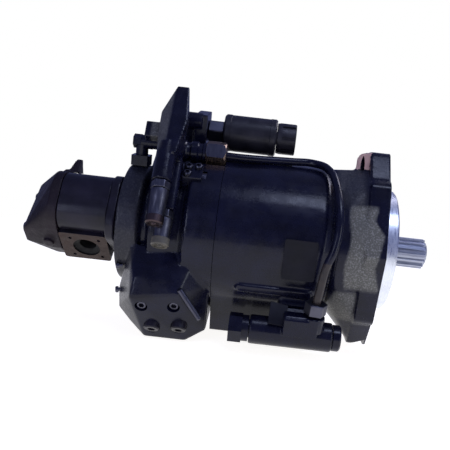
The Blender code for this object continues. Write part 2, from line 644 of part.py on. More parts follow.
def make_pipe(steel, nut_finish, finish):
    """The control line from the valve group down to the power valve, with its two unions."""
    place = along_x(polar(0, PIPE_R, PIPE_ANGLE))
    steps = [(-226, 0), (-226, 9), (-214, 9), (-214, 12), (-206, 12), (-206, 10), (-200, 10),
             (-200, 11.5), (NUT_X - GAP, 11.5), (NUT_X - GAP, 0)]
    adapter = lathe("upper_adapter", steps, 20, place)
    turned = place @ Matrix.Rotation(radians(30 - PIPE_ANGLE + 90), 4, "Z")
    nut = prism("upper_union_nut", hexagon(24), NUT_X, NUT_X + 20.4, turned)
    subtract(nut, rod("upper_nut_bore", NUT_X + 3, -160, 4.8, 16, place))
    route = [(NUT_X + 5, PIPE_R, PIPE_ANGLE), (-150, 84.9, 108), (-100, 84.8, 102),
             (-74, 88.6, 101), (-61, 88.6, 112), (-52, 88, 138), (-50, 90, 160), (-53, 90.6, 177),
             (-58, 91, 187), (-61, 93.6, 202), (-62.4, 97.3, 209.2), (-63, 100.2, 213.3)]
    curve = bpy.data.curves.new("control_pipe", "CURVE")
    curve.dimensions = "3D"
    curve.bevel_depth = 4.0 * MM
    curve.bevel_resolution = 2
    curve.resolution_u = 4
    curve.use_fill_caps = True
    spline = curve.splines.new("BEZIER")
    spline.bezier_points.add(len(route) - 1)
    for point, spot in zip(spline.bezier_points, route):
        point.co = polar(*spot) * MM
        point.handle_left_type = point.handle_right_type = "AUTO"
    pipe = bpy.data.objects.new("control_pipe", curve)
    bpy.context.scene.collection.objects.link(pipe)
    pipe.data.materials.append(steel)
    rise = polar(0, 1, UPPER_ANGLE)
    lower = facing(polar(BOSS_X, BOSS_R, UPPER_ANGLE + 90) - 44 * rise, rise + Vector((0.06, 0, 0)))
    lower_nut = prism("lower_union_nut", hexagon(19), 2, 14, lower)
    subtract(lower_nut, rod("lower_nut_bore", 3, 17, 5.3, 16, lower))
    paint(adapter, finish)
    paint(nut, nut_finish)
    paint(lower_nut, finish)


def make_power_valve(finish, cap_finish, steel):
    """The power valve at the lower front: block, long cylinder, end cap, end plug and spool."""
    centre = polar(0, POWER_DISTANCE, POWER_ANGLE)
    place = along_x(centre)
    body = rod("power_valve_body", -124, -42, 14.5, 32, place, chamfer=1)
    out = polar(0, 1, POWER_ANGLE)
    lift = facing((-78, 0, 0), out, (1, 0, 0))
    foot = block("power_valve_foot", (-19, -15, 86 + GAP), (18, 15, 104), lift)
    boss_place = facing(polar(BOSS_X, BOSS_R, UPPER_ANGLE + 90), polar(0, 1, UPPER_ANGLE))
    boss = rod("power_valve_boss", -60, -44, 11, 24, boss_place)
    head = wrap("power_valve_head", [(x, y, z) for x in (-92, -59) for y, z in POWER_HEAD])
    unite(body, foot, boss, head)
    subtract(body, rod("power_spool_bore", -120, -50, 7.3, 20, place))
    subtract(body, rod("power_cap_bore", -130, -116, 9.3, 20, place))
    spool = lathe("power_valve_spool", [(-112, 0), (-112, 7), (-96, 7), (-96, 4.5), (-78, 4.5), (-78, 7),
                                        (-62, 7), (-62, 0)], 20, place)
    cap = prism("power_valve_cap", hexagon(26), -144, -124 - GAP, place)
    unite(cap, rod("power_cap_thread", -126, -117, 9, 20, place))
    plug = rod("power_valve_plug", -42 + GAP, -33, 13, 24, place, chamfer=1)
    paint(body, finish)
    paint(spool, steel)
    paint(cap, cap_finish)
    paint(plug, cap_finish)


def make_fittings(finish, cap_finish, steel, port_plate, housing):
    """Plugs, caps, the blank nameplate and the screws that hold the two castings together."""
    for i, seat in enumerate(PLUG_SEATS, 1):
        spot = facing(seat, polar(0, 1, PLUG_ANGLE))
        subtract(port_plate, rod(f"plug_hole_{i}", -14, 22, 8.2, 20, spot))
        paint(rod(f"port_plug_{i}", -13.6, 3.5, 7.9, 20, spot, chamfer=1), cap_finish)
    top = facing((-257, 0, 0), polar(0, 1, 97))
    plug = prism("drain_fitting", rounded(9.5, 9.5, 3, 3), RIM_R + GAP, RIM_R + 12, top)
    neck = rod("drain_neck", RIM_R + 11, RIM_R + 24, 6.5, 16, top)
    height = polar(0, RIM_R + 25, 97)
    cross = rod("drain_elbow", -266, -239, 7.5, 20, along_x(height))
    unite(plug, neck, cross)
    plate_place = facing((-83, 0, 0), polar(0, 1, 187))
    plate = prism("nameplate", rounded(16, 20, 2, 2), BARREL_R + GAP, BARREL_R + 1.3, plate_place)
    seats = [polar(-182, 74, angle) for angle in SCREW_ANGLES]
    make_screws("port_plate_screw", seats, (-1, 0, 0), 4, 22, [port_plate, housing], steel)
    paint(plug, finish)
    paint(plate, cap_finish)


def main():
    clear_scene()
    paint_black = material("black_gloss_paint", (0.018, 0.018, 0.032), 0.28, 0.0)
    dark_cast = material("dark_cast", (0.03, 0.028, 0.036), 0.42, 0.0)
    machined = material("machined_steel", (0.55, 0.56, 0.58), 0.3, 1.0)
    plated = material("plated_nut", (0.33, 0.24, 0.17), 0.35, 1.0)
    black_plastic = material("black_plastic", (0.02, 0.02, 0.025), 0.45, 0.0)
    pale_cap = material("pale_cap", (0.24, 0.24, 0.19), 0.45, 0.0)
    brown_cap = material("brown_cap", (0.1, 0.07, 0.06), 0.4, 0.0)
    bronze = material("bronze", (0.55, 0.38, 0.2), 0.35, 1.0)
    rubber = material("seal_rubber", (0.02, 0.02, 0.02), 0.7, 0.0)
    housing = make_housing(paint_black)
    port_plate = make_port_plate(paint_black)
    make_shaft(machined)
    make_bearings(machined)
    make_seal(rubber)
    make_barrel(bronze)
    make_pistons(machined)
    make_slipper_ring(bronze)
    make_retainer(machined)
    make_swashplate(machined)
    make_cradle_bearings(bronze)
    make_actuators(port_plate, machined)
    make_valve_plate(machined)
    make_gear_pump(dark_cast, machined)
    make_control_valve(paint_black, brown_cap, pale_cap, machined)
    make_solenoid(paint_black, black_plastic, machined)
    make_pipe(dark_cast, plated, dark_cast)
    make_power_valve(paint_black, dark_cast, machined)
    make_fittings(paint_black, black_plastic, machined, port_plate, housing)


main()
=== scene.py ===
"""Axial piston pump: the visible model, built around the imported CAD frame.

Lengths are in millimetres and are scaled to metres when a mesh is made. X runs along the shaft, with
the splined end towards +X and X = 0 on the mounting face. Angles turn about +X from +Y towards +Z.
"""

from math import atan2, cos, degrees, pi, radians, sin, sqrt

import bmesh
import bpy
from mathutils import Matrix, Vector


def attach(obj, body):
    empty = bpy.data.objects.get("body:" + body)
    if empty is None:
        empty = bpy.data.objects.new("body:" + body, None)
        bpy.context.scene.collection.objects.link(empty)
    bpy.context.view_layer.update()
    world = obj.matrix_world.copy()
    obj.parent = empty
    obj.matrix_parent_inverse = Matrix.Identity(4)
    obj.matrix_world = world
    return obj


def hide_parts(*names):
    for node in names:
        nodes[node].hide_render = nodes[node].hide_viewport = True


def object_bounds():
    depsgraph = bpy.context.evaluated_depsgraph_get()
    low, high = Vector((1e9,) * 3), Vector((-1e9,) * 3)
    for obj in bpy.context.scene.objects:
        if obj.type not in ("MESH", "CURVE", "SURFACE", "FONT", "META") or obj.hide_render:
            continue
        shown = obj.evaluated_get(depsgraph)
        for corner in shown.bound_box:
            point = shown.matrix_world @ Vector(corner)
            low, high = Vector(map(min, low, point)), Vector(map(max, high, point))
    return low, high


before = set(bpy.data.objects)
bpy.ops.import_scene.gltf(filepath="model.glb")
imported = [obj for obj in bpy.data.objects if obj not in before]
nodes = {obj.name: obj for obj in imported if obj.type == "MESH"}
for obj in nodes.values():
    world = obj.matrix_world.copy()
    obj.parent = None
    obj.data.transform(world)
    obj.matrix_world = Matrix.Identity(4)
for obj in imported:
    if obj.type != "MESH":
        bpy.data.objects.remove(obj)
cad_low, cad_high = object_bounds()

MM = 0.001
ROOT = "housing"

# Mounting flange and pump housing
PILOT_R = 63.5
PILOT_LENGTH = 12.7
FLANGE_R = 74.0
EAR_CORNERS = ((17, 88), (41, 60))
EAR_CORNER_R = 14.0
BOLT_OFFSET = 90.5
BOLT_HOLE_R = 8.75
SPOT_FACE_R = 12.5
FLANGE_BACK = -20.0
NECK_BACK = -21.0
NECK_TOP = 82.0
FACE_PLATE = 1.6
BARREL_R = 80.0
SHOULDER_X = -52.0
SHOULDER_FILLET = 15.0
NECK_R = 70.0
NECK_FRONT = -46.0
CAVITY_R = 68.0
JOINT_X = -166.0
TILT_X = -90.0
SADDLE_R = 38.6
FOOT_SECTION = ((-60, -50), (-25, -103), (25, -103), (60, -50), (0, -70))
FOOT_FRONT = -98.0
SHAFT_HOLE_R = 28.0
BEARING_SEAT_R = 36.0
BEARING_SEAT = (-60.0, -14.0)
RIB_X = -104.0
RIB_ANGLE = 213.0
EAR_BEVEL = ((1, -93), (-20, -103), (1, -103))
EAR_WEB = (
    (-56, -16, 79.5), (-56, 12, 79.5), (-21, -16, 82.5), (-21, 12, 82.5),
    (-56, -40, 60), (-56, 34, 60), (-21, -40, 60), (-21, 34, 60),
)

# The bare, slotted eye on the upper ear, given across it and up along it
EYE_PLACE = (-24.5, -17, 91)
EYE_DIRECTION = (-0.72, -0.68, 0.12)
EYE_R = 9.3
EYE_FOOT = -9.0
EYE_FACE = 2.5
EYE_SLOT = ((-2.5, -9), (-2.6, -2), (-1.6, 3), (0, 6.2), (1.6, 3), (2.6, -2), (2.5, -9))

# The front edge of the bare sandy patch on the neck, as (z, x) steps
SAND_EDGE = ((-33, -2), (-22, -6), (-11, -9.3), (5, -6.2), (21, -3.3), (34, -13.4), (47, -11))

# A casting is made longer by SPARE, melted together, and then cut flush with a wide rod
SPARE = 5.0
WIDE_R = 150.0

# Rear casting
RIM_FRONT = -246.0
RIM_REAR = -267.0
RIM_R = 62.0
BACK_PORT_ANGLE = 39.0
BACK_PORT_REACH = 92.0
BACK_PORT_X = -217.0
BACK_PORT_R = 20.0
PRESSURE_PORT = (-208, -10)
PRESSURE_PORT_R = 13.0
SCREW_ANGLES = (76, 131, 301, 346)
SCREW_CIRCLE_R = 74.0
SCREW_SEAT_X = -182.0
PLUG_SEATS = ((-220.6, -62.5, -95.0), (-193.6, -63.9, -92.7))
PLUG_ANGLE = 235.0
POCKET_SEATS = ((-230.3, -76.8, -72.1), (-199.1, -74.9, -69.9))
POCKET_DEPTH = 7.0
RIM_SCREWS = ((-261.0, -50.0, -40.0), (-259.0, -52.0, -64.0))
LOWER_BEVEL = 211.0
LOWER_BLOCK = (
    (-250, -58, -15), (-182, -66, -15), (-239, -81, -44), (-200, -81, -43), (-195, -83, -56),
    (-241, -83.5, -63), (-260, -48, -62), (-258, -50, -82), (-245, -52, -95), (-229, -54, -109),
    (-188, -54, -109), (-168, -52, -96), (-168, -60, -50), (-255, 40, -60), (-245, 40, -88),
    (-229, 30, -109), (-188, 30, -109), (-170, 40, -86),
)

# Gear pump, with corners given along its port face and out through it
GEAR_ANGLE = 154.0
GEAR_OFFSET = 30.0
GEAR_PLATE_REAR = -276.0
GEAR_BODY_REAR = -325.5
GEAR_COVER_REAR = -361.7
GEAR_PORT_X = -299.5
PORT_TURN = 226.0
PORT_RISE = 45.5
PORT_R = 8.5
PORT_RECESS_R = 13.6
PORT_SCREWS = ((-14.5, -14), (-14.5, 14), (14.5, -14), (14.5, 14))
COVER_FRONT_CORNERS = ((31, 44), (2, 46.5), (-16, 40))
COVER_REAR_CORNERS = (
    (25, -15), (25, 44), (8, 45), (-20, 30), (-25, 20), (-25, -15), (-12, -28), (10, -28),
)
COVER_SCREWS = ((15, -6), (15, 33), (-9, 27), (-15, -8))
COVER_STEP = (
    (-352, -10, 33), (-352, 8, 33), (-350, -8, 38), (-350, 8, 38), (-340, -8, 41), (-340, 8, 41),
    (-337, -6, 48), (-337, 12, 48), (-327, -6, 46), (-327, 12, 46),
)
COVER_LUG = (
    (-337, 4, 47), (-337, 18, 47), (-326, 4, 44), (-326, 20, 44), (-333, 10, 57), (-326, 10, 57),
    (-332, 14, 59.5), (-327, 14, 59.5), (-332, 18, 59), (-327, 18, 59),
)

# Control valve: corners are given across the valve, up along it, and out from the shaft
VALVE_X = -222.0
VALVE_ANGLE = 153.0
PRESSURE_STAGE = (1.2, 94.4, -8, 36)
FLOW_STAGE = (6.7, 77.5, 14, 51)
PRESSURE_NUT = 16
FLOW_NUT = 15
VALVE_CORNERS = (
    (2, 108, 103.5), (13.6, 108.5, 103.5), (17, 72, 103.5), (11, 36, 103.5), (1, 36, 103.5),
    (1, 60, 103.5), (-4.5, 99, 91), (-12, 85, 91), (-11.5, 62, 91), (-9, 36, 91), (-12, 85, 74.1),
    (-11, 36, 74.1), (14, 36, 74.1), (14, 88, 74.1), (3, 102, 84),
)
VALVE_SHOULDER = ((60, 74), (80, 74), (60, 85), (76, 86))

# Solenoid valve, control line and power valve
UPPER_ANGLE = 101.0
PIPE_R = 85.4
PIPE_ANGLE = 108.0
PIPE_THICK = 8.0
NUT_X = -187.0
SOLENOID_AXIS = (0, 38, 101)
POWER_ANGLE = 232.3
POWER_DISTANCE = 107.7
POWER_SEAT_X = -78.0
POWER_HEAD = ((-70, -62), (-89, -62), (-92, -66), (-90, -82), (-70, -86))
BOSS_X = -63.2
BOSS_R = 92.4
DRAIN_X = -257.0
DRAIN_ANGLE = 97.0
PILOT_ANGLE = 131.0


# ---------------------------------------------------------------- places

def polar(x, radius, angle):
    """A point at a radius and an angle about the shaft axis."""
    a = radians(angle)
    return Vector((x, radius * cos(a), radius * sin(a)))


def along_x(origin=(0, 0, 0)):
    """Local Z becomes world X."""
    turn = Matrix(((0, 0, 1), (1, 0, 0), (0, 1, 0))).to_4x4()
    return Matrix.Translation(origin) @ turn


def facing(origin, direction, up=(1, 0, 0)):
    """Local Z points along direction, and local X lies as near to up as it can."""
    z = Vector(direction).normalized()
    if abs(z.dot(Vector(up))) > 0.999:
        up = (0, 0, 1)
    y = z.cross(Vector(up)).normalized()
    turn = Matrix((y.cross(z), y, z)).transposed().to_4x4()
    return Matrix.Translation(origin) @ turn


# ---------------------------------------------------------------- flat outlines

def arc(centre, radius, start, end, steps):
    """Points on a circle from the start angle to the end angle, in degrees."""
    angles = [radians(start + (end - start) * i / steps) for i in range(steps + 1)]
    return [(centre[0] + radius * cos(a), centre[1] + radius * sin(a)) for a in angles]


def rounded(half_x, half_y, corner, steps=6):
    """A rectangle with round corners."""
    points = []
    for n, (sx, sy) in enumerate(((1, 1), (-1, 1), (-1, -1), (1, -1))):
        centre = (sx * (half_x - corner), sy * (half_y - corner))
        points += arc(centre, corner, 90 * n, 90 * n + 90, steps)
    return points


def hexagon(across_flats):
    """A regular hexagon, with a corner on local X."""
    corner = across_flats / sqrt(3)
    return [(corner * cos(radians(60 * i)), corner * sin(radians(60 * i))) for i in range(6)]


def shifted(outline, dx, dy=0.0):
    return [(x + dx, y + dy) for x, y in outline]


# ---------------------------------------------------------------- solids as bmeshes in millimetres

def placed(bm, place):
    """Move a solid to its place, with its faces outward."""
    bm.transform(place)
    bmesh.ops.recalc_face_normals(bm, faces=bm.faces)
    if bm.calc_volume(signed=True) < 0:
        bmesh.ops.reverse_faces(bm, faces=bm.faces)
    return bm


def lathe(profile, segments=96, place=None):
    """Spin a closed outline of (height, radius) points about local Z."""
    bm = bmesh.new()
    verts = [bm.verts.new((radius, 0, height)) for height, radius in profile]
    edges = [bm.edges.new((v, verts[i - 1])) for i, v in enumerate(verts)]
    bmesh.ops.spin(bm, geom=verts + edges, cent=(0, 0, 0), axis=(0, 0, 1), dvec=(0, 0, 0),
                   angle=2 * pi, steps=segments, use_merge=True)
    bmesh.ops.remove_doubles(bm, verts=bm.verts, dist=0.001)
    loose = [e for e in bm.edges if not e.link_faces]
    bmesh.ops.delete(bm, geom=loose, context="EDGES")
    return placed(bm, along_x() if place is None else place)


def rod(start, end, radius, segments=48, place=None, chamfer=0.0):
    """A round bar along local Z."""
    profile = [(start, 0), (start, radius - chamfer), (end, radius - chamfer), (end, 0)]
    if chamfer:
        profile[2:2] = [(start + chamfer, radius), (end - chamfer, radius)]
    return lathe(profile, segments, place)


def prism(outline, start, end, place=None):
    """Extrude a flat outline of local (x, y) points along local Z."""
    bm = bmesh.new()
    face = bm.faces.new([bm.verts.new((x, y, start)) for x, y in outline])
    grown = bmesh.ops.extrude_face_region(bm, geom=[face])
    moved = [v for v in grown["geom"] if isinstance(v, bmesh.types.BMVert)]
    bmesh.ops.translate(bm, verts=moved, vec=(0, 0, end - start))
    return placed(bm, along_x() if place is None else place)


def wrap(points, place=None):
    """The convex solid round points."""
    bm = bmesh.new()
    for p in points:
        bm.verts.new(p)
    made = bmesh.ops.convex_hull(bm, input=bm.verts)
    inside = [g for g in made["geom_interior"] if isinstance(g, bmesh.types.BMVert)]
    bmesh.ops.delete(bm, geom=inside, context="VERTS")
    return placed(bm, Matrix() if place is None else place)


# ---------------------------------------------------------------- objects

def to_object(name, *solids):
    """One object in metres from solids in millimetres."""
    whole = bmesh.new()
    for bm in solids:
        scratch = bpy.data.meshes.new("scratch")
        bm.to_mesh(scratch)
        bm.free()
        whole.from_mesh(scratch)
        bpy.data.meshes.remove(scratch)
    whole.transform(Matrix.Scale(MM, 4))
    mesh = bpy.data.meshes.new(name)
    whole.to_mesh(mesh)
    whole.free()
    made = bpy.data.objects.new(name, mesh)
    bpy.context.scene.collection.objects.link(made)
    return made


def bake_modifiers(made):
    """Turn an object's modifiers into mesh."""
    graph = bpy.context.evaluated_depsgraph_get()
    mesh = bpy.data.meshes.new_from_object(made.evaluated_get(graph))
    made.modifiers.clear()
    made.data = mesh
    return made


def carve(made, operation, solids):
    """Join, cut or trim an object with solids."""
    tools = []
    for i, solid in enumerate(solids):
        tool = to_object(f"{made.name}_tool_{i}", solid)
        step = made.modifiers.new(tool.name, "BOOLEAN")
        step.operation = operation
        step.solver = "EXACT"
        step.object = tool
        tools.append(tool)
    bake_modifiers(made)
    for tool in tools:
        bpy.data.objects.remove(tool, do_unlink=True)
    return made


def cut(made, *solids):
    return carve(made, "DIFFERENCE", solids)


def smooth(made, angle=32):
    """Shade smooth, but keep edges sharper than angle, in degrees."""
    made.data.shade_smooth()
    made.data.set_sharp_from_angle(angle=radians(angle))
    return made


def cast(name, solids, voxel=1.5, passes=6):
    """Melt solids into one casting with rounded edges and filleted corners."""
    made = to_object(name, *solids)
    melt = made.modifiers.new("melt", "REMESH")
    melt.mode = "VOXEL"
    melt.voxel_size = voxel * MM
    soften = made.modifiers.new("soften", "SMOOTH")
    soften.factor = 0.5
    soften.iterations = passes
    return bake_modifiers(made)


def bevelled(made, width, segments=2, angle=30):
    """Round the edges that are sharper than angle, in degrees."""
    step = made.modifiers.new("bevel", "BEVEL")
    step.width = width * MM
    step.segments = segments
    step.limit_method = "ANGLE"
    step.angle_limit = radians(angle)
    step.harden_normals = False
    return made


def fit(made, finish, body=ROOT, replaced=()):
    """Give a piece its finish, its body and the nodes that it stands for."""
    made.data.materials.clear()
    made.data.materials.append(finish)
    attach(made, body)
    if replaced:
        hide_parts(*replaced)
    return made


# ---------------------------------------------------------------- materials

class Shade:
    """A small builder for one Principled material."""

    def __init__(self, name, colour, roughness, metallic=0.0, coat=0.0, coat_roughness=0.12, specular=0.5):
        self.material = bpy.data.materials.new(name)
        self.material.use_nodes = True
        self.tree = self.material.node_tree
        self.shader = self.tree.nodes["Principled BSDF"]
        self.place = self.add("ShaderNodeTexCoord").outputs["Object"]
        self.normal = None
        self.set("Base Color", (*colour, 1.0))
        self.set("Roughness", roughness)
        self.set("Metallic", metallic)
        self.set("Coat Weight", coat)
        self.set("Coat Roughness", coat_roughness)
        self.set("Specular IOR Level", specular)

    def add(self, kind, **settings):
        made = self.tree.nodes.new(kind)
        for key, value in settings.items():
            setattr(made, key, value)
        return made

    def feed(self, socket, value):
        """Link a socket or set a number, whichever value is."""
        if isinstance(value, bpy.types.NodeSocket):
            self.tree.links.new(value, socket)
        else:
            socket.default_value = value

    def set(self, name, value):
        self.feed(self.shader.inputs[name], value)

    def noise(self, scale, detail=3.0, rough=0.55, stretch=None):
        """Noise with features about 1000 / scale millimetres wide."""
        made = self.add("ShaderNodeTexNoise")
        self.feed(made.inputs["Vector"], self.stretched(stretch) if stretch else self.place)
        made.inputs["Scale"].default_value = scale
        made.inputs["Detail"].default_value = detail
        made.inputs["Roughness"].default_value = rough
        return made.outputs["Fac"]

    def stretched(self, factors):
        made = self.add("ShaderNodeMapping")
        self.feed(made.inputs["Vector"], self.place)
        made.inputs["Scale"].default_value = factors
        return made.outputs["Vector"]

    def attribute(self, name):
        return self.add("ShaderNodeAttribute", attribute_name=name).outputs["Fac"]

    def ramp(self, value, low, high, start=0.0, end=1.0):
        """Map low..high to start..end, clamped."""
        made = self.add("ShaderNodeMapRange")
        self.feed(made.inputs["Value"], value)
        for key, number in (("From Min", low), ("From Max", high), ("To Min", start), ("To Max", end)):
            made.inputs[key].default_value = number
        return made.outputs["Result"]

    def math(self, operation, a, b=0.0):
        made = self.add("ShaderNodeMath", operation=operation)
        self.feed(made.inputs[0], a)
        self.feed(made.inputs[1], b)
        return made.outputs[0]

    def mix(self, factor, a, b):
        """Blend two colours."""
        made = self.add("ShaderNodeMix", data_type="RGBA")
        self.feed(made.inputs["Factor"], factor)
        self.feed(made.inputs["A"], a if isinstance(a, bpy.types.NodeSocket) else (*a, 1.0))
        self.feed(made.inputs["B"], b if isinstance(b, bpy.types.NodeSocket) else (*b, 1.0))
        return made.outputs["Result"]

    def bump(self, height, strength, depth):
        """Add a bump layer; depth is in millimetres."""
        made = self.add("ShaderNodeBump")
        self.feed(made.inputs["Height"], height)
        self.feed(made.inputs["Strength"], strength)
        made.inputs["Distance"].default_value = depth * MM
        if self.normal:
            self.feed(made.inputs["Normal"], self.normal)
        self.normal = made.outputs["Normal"]
        self.set("Normal", self.normal)


def painted(name, deep, lifted, rough=(0.2, 0.36), grit_and_sheen=None):
    """Gloss paint over iron; the grit attribute marks the sandy skin of a casting and, on the housing's
    upper neck slope, a painted sheen.
    """
    shade = Shade(name, deep, rough[0], coat=0.08, specular=0.22)
    patches = shade.ramp(shade.noise(38, 4), 0.36, 0.66)
    streaks = shade.ramp(shade.noise(55, 3, stretch=(0.25, 1.6, 1.6)), 0.4, 0.7)
    colour = shade.mix(patches, deep, lifted)
    dust_and_sheen = shade.mix(shade.math("MULTIPLY", streaks, 0.35), colour, [c * 1.5 for c in lifted])
    roughness = shade.ramp(shade.noise(90, 5), 0.35, 0.7, *rough)
    shade.bump(shade.noise(65, 2), 0.22, 1.1)
    shade.bump(shade.noise(420, 3), 0.16, 0.35)
    if grit_and_sheen:
        mask = shade.attribute(grit_and_sheen)
        sand = shade.noise(620, 4, 0.62)
        grains = shade.noise(1500, 2)
        speck = shade.math("MULTIPLY", shade.ramp(sand, 0.5, 0.62), mask)
        # The mask lightens the paint: sandy skin, and on the housing's upper neck slope a painted sheen.
        dust_and_sheen = shade.mix(shade.math("MULTIPLY", mask, 0.85), dust_and_sheen, (0.115, 0.112, 0.1))
        dust_and_sheen = shade.mix(shade.math("MULTIPLY", speck, 0.5), dust_and_sheen, (0.3, 0.3, 0.29))
        roughness = shade.math("ADD", roughness, shade.math("MULTIPLY", mask, 0.2))
        shade.bump(sand, shade.math("MULTIPLY", mask, 0.9), 1.5)
        shade.bump(grains, shade.math("MULTIPLY", mask, 0.6), 0.6)
    shade.set("Base Color", dust_and_sheen)
    shade.set("Roughness", roughness)
    return shade.material


def machined(name, colour, roughness=0.28, rings=True, tint=None):
    """Turned or ground metal: fine tool marks, light stains and a little unevenness."""
    shade = Shade(name, colour, roughness, metallic=1.0)
    marks = shade.noise(160, 3, stretch=(9.0, 0.6, 0.6) if rings else (0.4, 6.0, 6.0))
    stain = shade.ramp(shade.noise(70, 4), 0.4, 0.68)
    darker = tint or [c * 0.72 for c in colour]
    shade.set("Base Color", shade.mix(shade.math("MULTIPLY", stain, 0.6), colour, darker))
    shade.set("Roughness", shade.ramp(marks, 0.3, 0.7, roughness * 0.75, roughness * 1.35))
    shade.bump(marks, 0.25, 0.2)
    return shade.material


def moulded(name, colour, roughness=0.42):
    """Moulded plastic with a fine grain."""
    shade = Shade(name, colour, roughness, specular=0.3)
    wear = shade.ramp(shade.noise(75, 4), 0.4, 0.7)
    shade.set("Base Color", shade.mix(wear, colour, [c * 1.8 + 0.004 for c in colour]))
    shade.set("Roughness", shade.ramp(shade.noise(210, 4), 0.35, 0.68, roughness * 0.8, roughness * 1.2))
    shade.bump(shade.noise(1300, 2), 0.25, 0.12)
    return shade.material


def rough_cast(name, colour, lifted, roughness=0.5):
    """Bare cast metal, rough and matt."""
    shade = Shade(name, colour, roughness, specular=0.22)
    patches = shade.ramp(shade.noise(45, 5), 0.38, 0.66)
    shade.set("Base Color", shade.mix(patches, colour, lifted))
    shade.set("Roughness", shade.ramp(shade.noise(150, 4), 0.35, 0.7, roughness * 0.8, roughness * 1.2))
    shade.bump(shade.noise(280, 4, 0.6), 0.45, 0.9)
    shade.bump(shade.noise(1300, 2), 0.4, 0.3)
    return shade.material


def soft_rubber(name):
    """Matt black rubber."""
    shade = Shade(name, (0.012, 0.012, 0.013), 0.62)
    shade.set("Roughness", shade.ramp(shade.noise(300, 3), 0.3, 0.7, 0.5, 0.75))
    shade.bump(shade.noise(1500, 2), 0.3, 0.1)
    return shade.material


PAINT = painted("gloss_black_paint", (0.0022, 0.0022, 0.0075), (0.0045, 0.005, 0.0165), grit_and_sheen="grit_and_sheen")
PLAIN_PAINT = painted("gloss_black_paint_plain", (0.0022, 0.0022, 0.0075), (0.0045, 0.005, 0.0165))
# Brownish paint for the pipe's lower run: a painted warm reflection of the floor.
PIPE_WARM_REFLECTION = painted("control_line_painted_reflection", (0.012, 0.011, 0.014), (0.04, 0.03, 0.026), rough=(0.16, 0.28))
GEAR_PAINT = painted("gear_pump_paint", (0.0045, 0.0036, 0.0068), (0.0115, 0.0098, 0.019),
                     rough=(0.3, 0.44))
COVER_CAST = rough_cast("gear_cover_cast", (0.0065, 0.0035, 0.0065), (0.014, 0.0085, 0.013))
PORT_FACE = rough_cast("bare_port_face", (0.022, 0.0095, 0.0065), (0.036, 0.019, 0.0135), 0.5)
STEEL = machined("machined_steel", (0.74, 0.77, 0.82), 0.3)
DARK_STEEL = machined("dark_steel", (0.09, 0.09, 0.115), 0.36)
SPLINE_STEEL = machined("spline_steel", (0.36, 0.38, 0.45), 0.34, rings=False)
PLATED = machined("plated_nut", (0.36, 0.26, 0.19), 0.32, tint=(0.24, 0.17, 0.13))
BRONZE = machined("bearing_bronze", (0.55, 0.38, 0.2), 0.34)
COPPER = rough_cast("bare_copper_face", (0.58, 0.36, 0.3), (0.7, 0.46, 0.39), 0.45)
PLASTIC = moulded("black_plastic", (0.009, 0.008, 0.012))
PALE_CAP = moulded("pale_olive_cap", (0.075, 0.068, 0.055), 0.4)
BROWN_CAP = machined("brown_adjuster_cap", (0.07, 0.05, 0.052), 0.36, tint=(0.04, 0.03, 0.032))
RUBBER = soft_rubber("seal_rubber")
PLATE_LABEL = painted("blank_plate", (0.0012, 0.0011, 0.004), (0.0025, 0.0022, 0.008), rough=(0.7, 0.8))
# Near-black for the walls of the eye's slot and the gear pump's port: painted shade.
HOLE_SHADE = moulded("port_shadow", (0.002, 0.002, 0.002), 0.7)


def level_at(place, steps):
    """Straight lines between (place, level) steps."""
    for (start, low), (end, high) in zip(steps, steps[1:]):
        if place <= end:
            return low + (high - low) * max(0.0, place - start) / (end - start)
    return steps[-1][1]


def mark(made, name, strength):
    """Store 0 to 1 for each vertex; strength is a function of its place in millimetres."""
    layer = made.data.attributes.new(name, "FLOAT", "POINT")
    values = [min(1.0, max(0.0, strength(v.co / MM))) for v in made.data.vertices]
    layer.data.foreach_set("value", values)


def band(value, low, high, edge):
    """1 between low and high, falling to 0 over edge."""
    return min(1.0, max(0.0, min((value - low) / edge, (high - value) / edge) + 0.5))


def split_finish(made, second, test):
    """Give a second finish to faces, by a test on their centre in millimetres and their normal."""
    made.data.materials.append(second)
    for face in made.data.polygons:
        if test(face.center / MM, face.normal):
            face.material_index = len(made.data.materials) - 1


# ---------------------------------------------------------------- pump housing

def flange_outline(scale=1.0):
    """The flange with its two wide ears: a round middle and four rounded corners."""
    points = [(FLANGE_R, 0)]
    quarter = [(y, z) for y, z in reversed(EAR_CORNERS)]
    mirrored = [(-y, z) for y, z in EAR_CORNERS]
    below = [(-y, -z) for y, z in quarter + mirrored]
    for n, (y, z) in enumerate(quarter + mirrored + below):
        middle = degrees(atan2(z, y))
        points += arc((y, z), EAR_CORNER_R, middle - 24, middle + 24, 10)
        if n == 3:
            points.append((-FLANGE_R, 0))
    return [(y * scale, z * scale) for y, z in points]


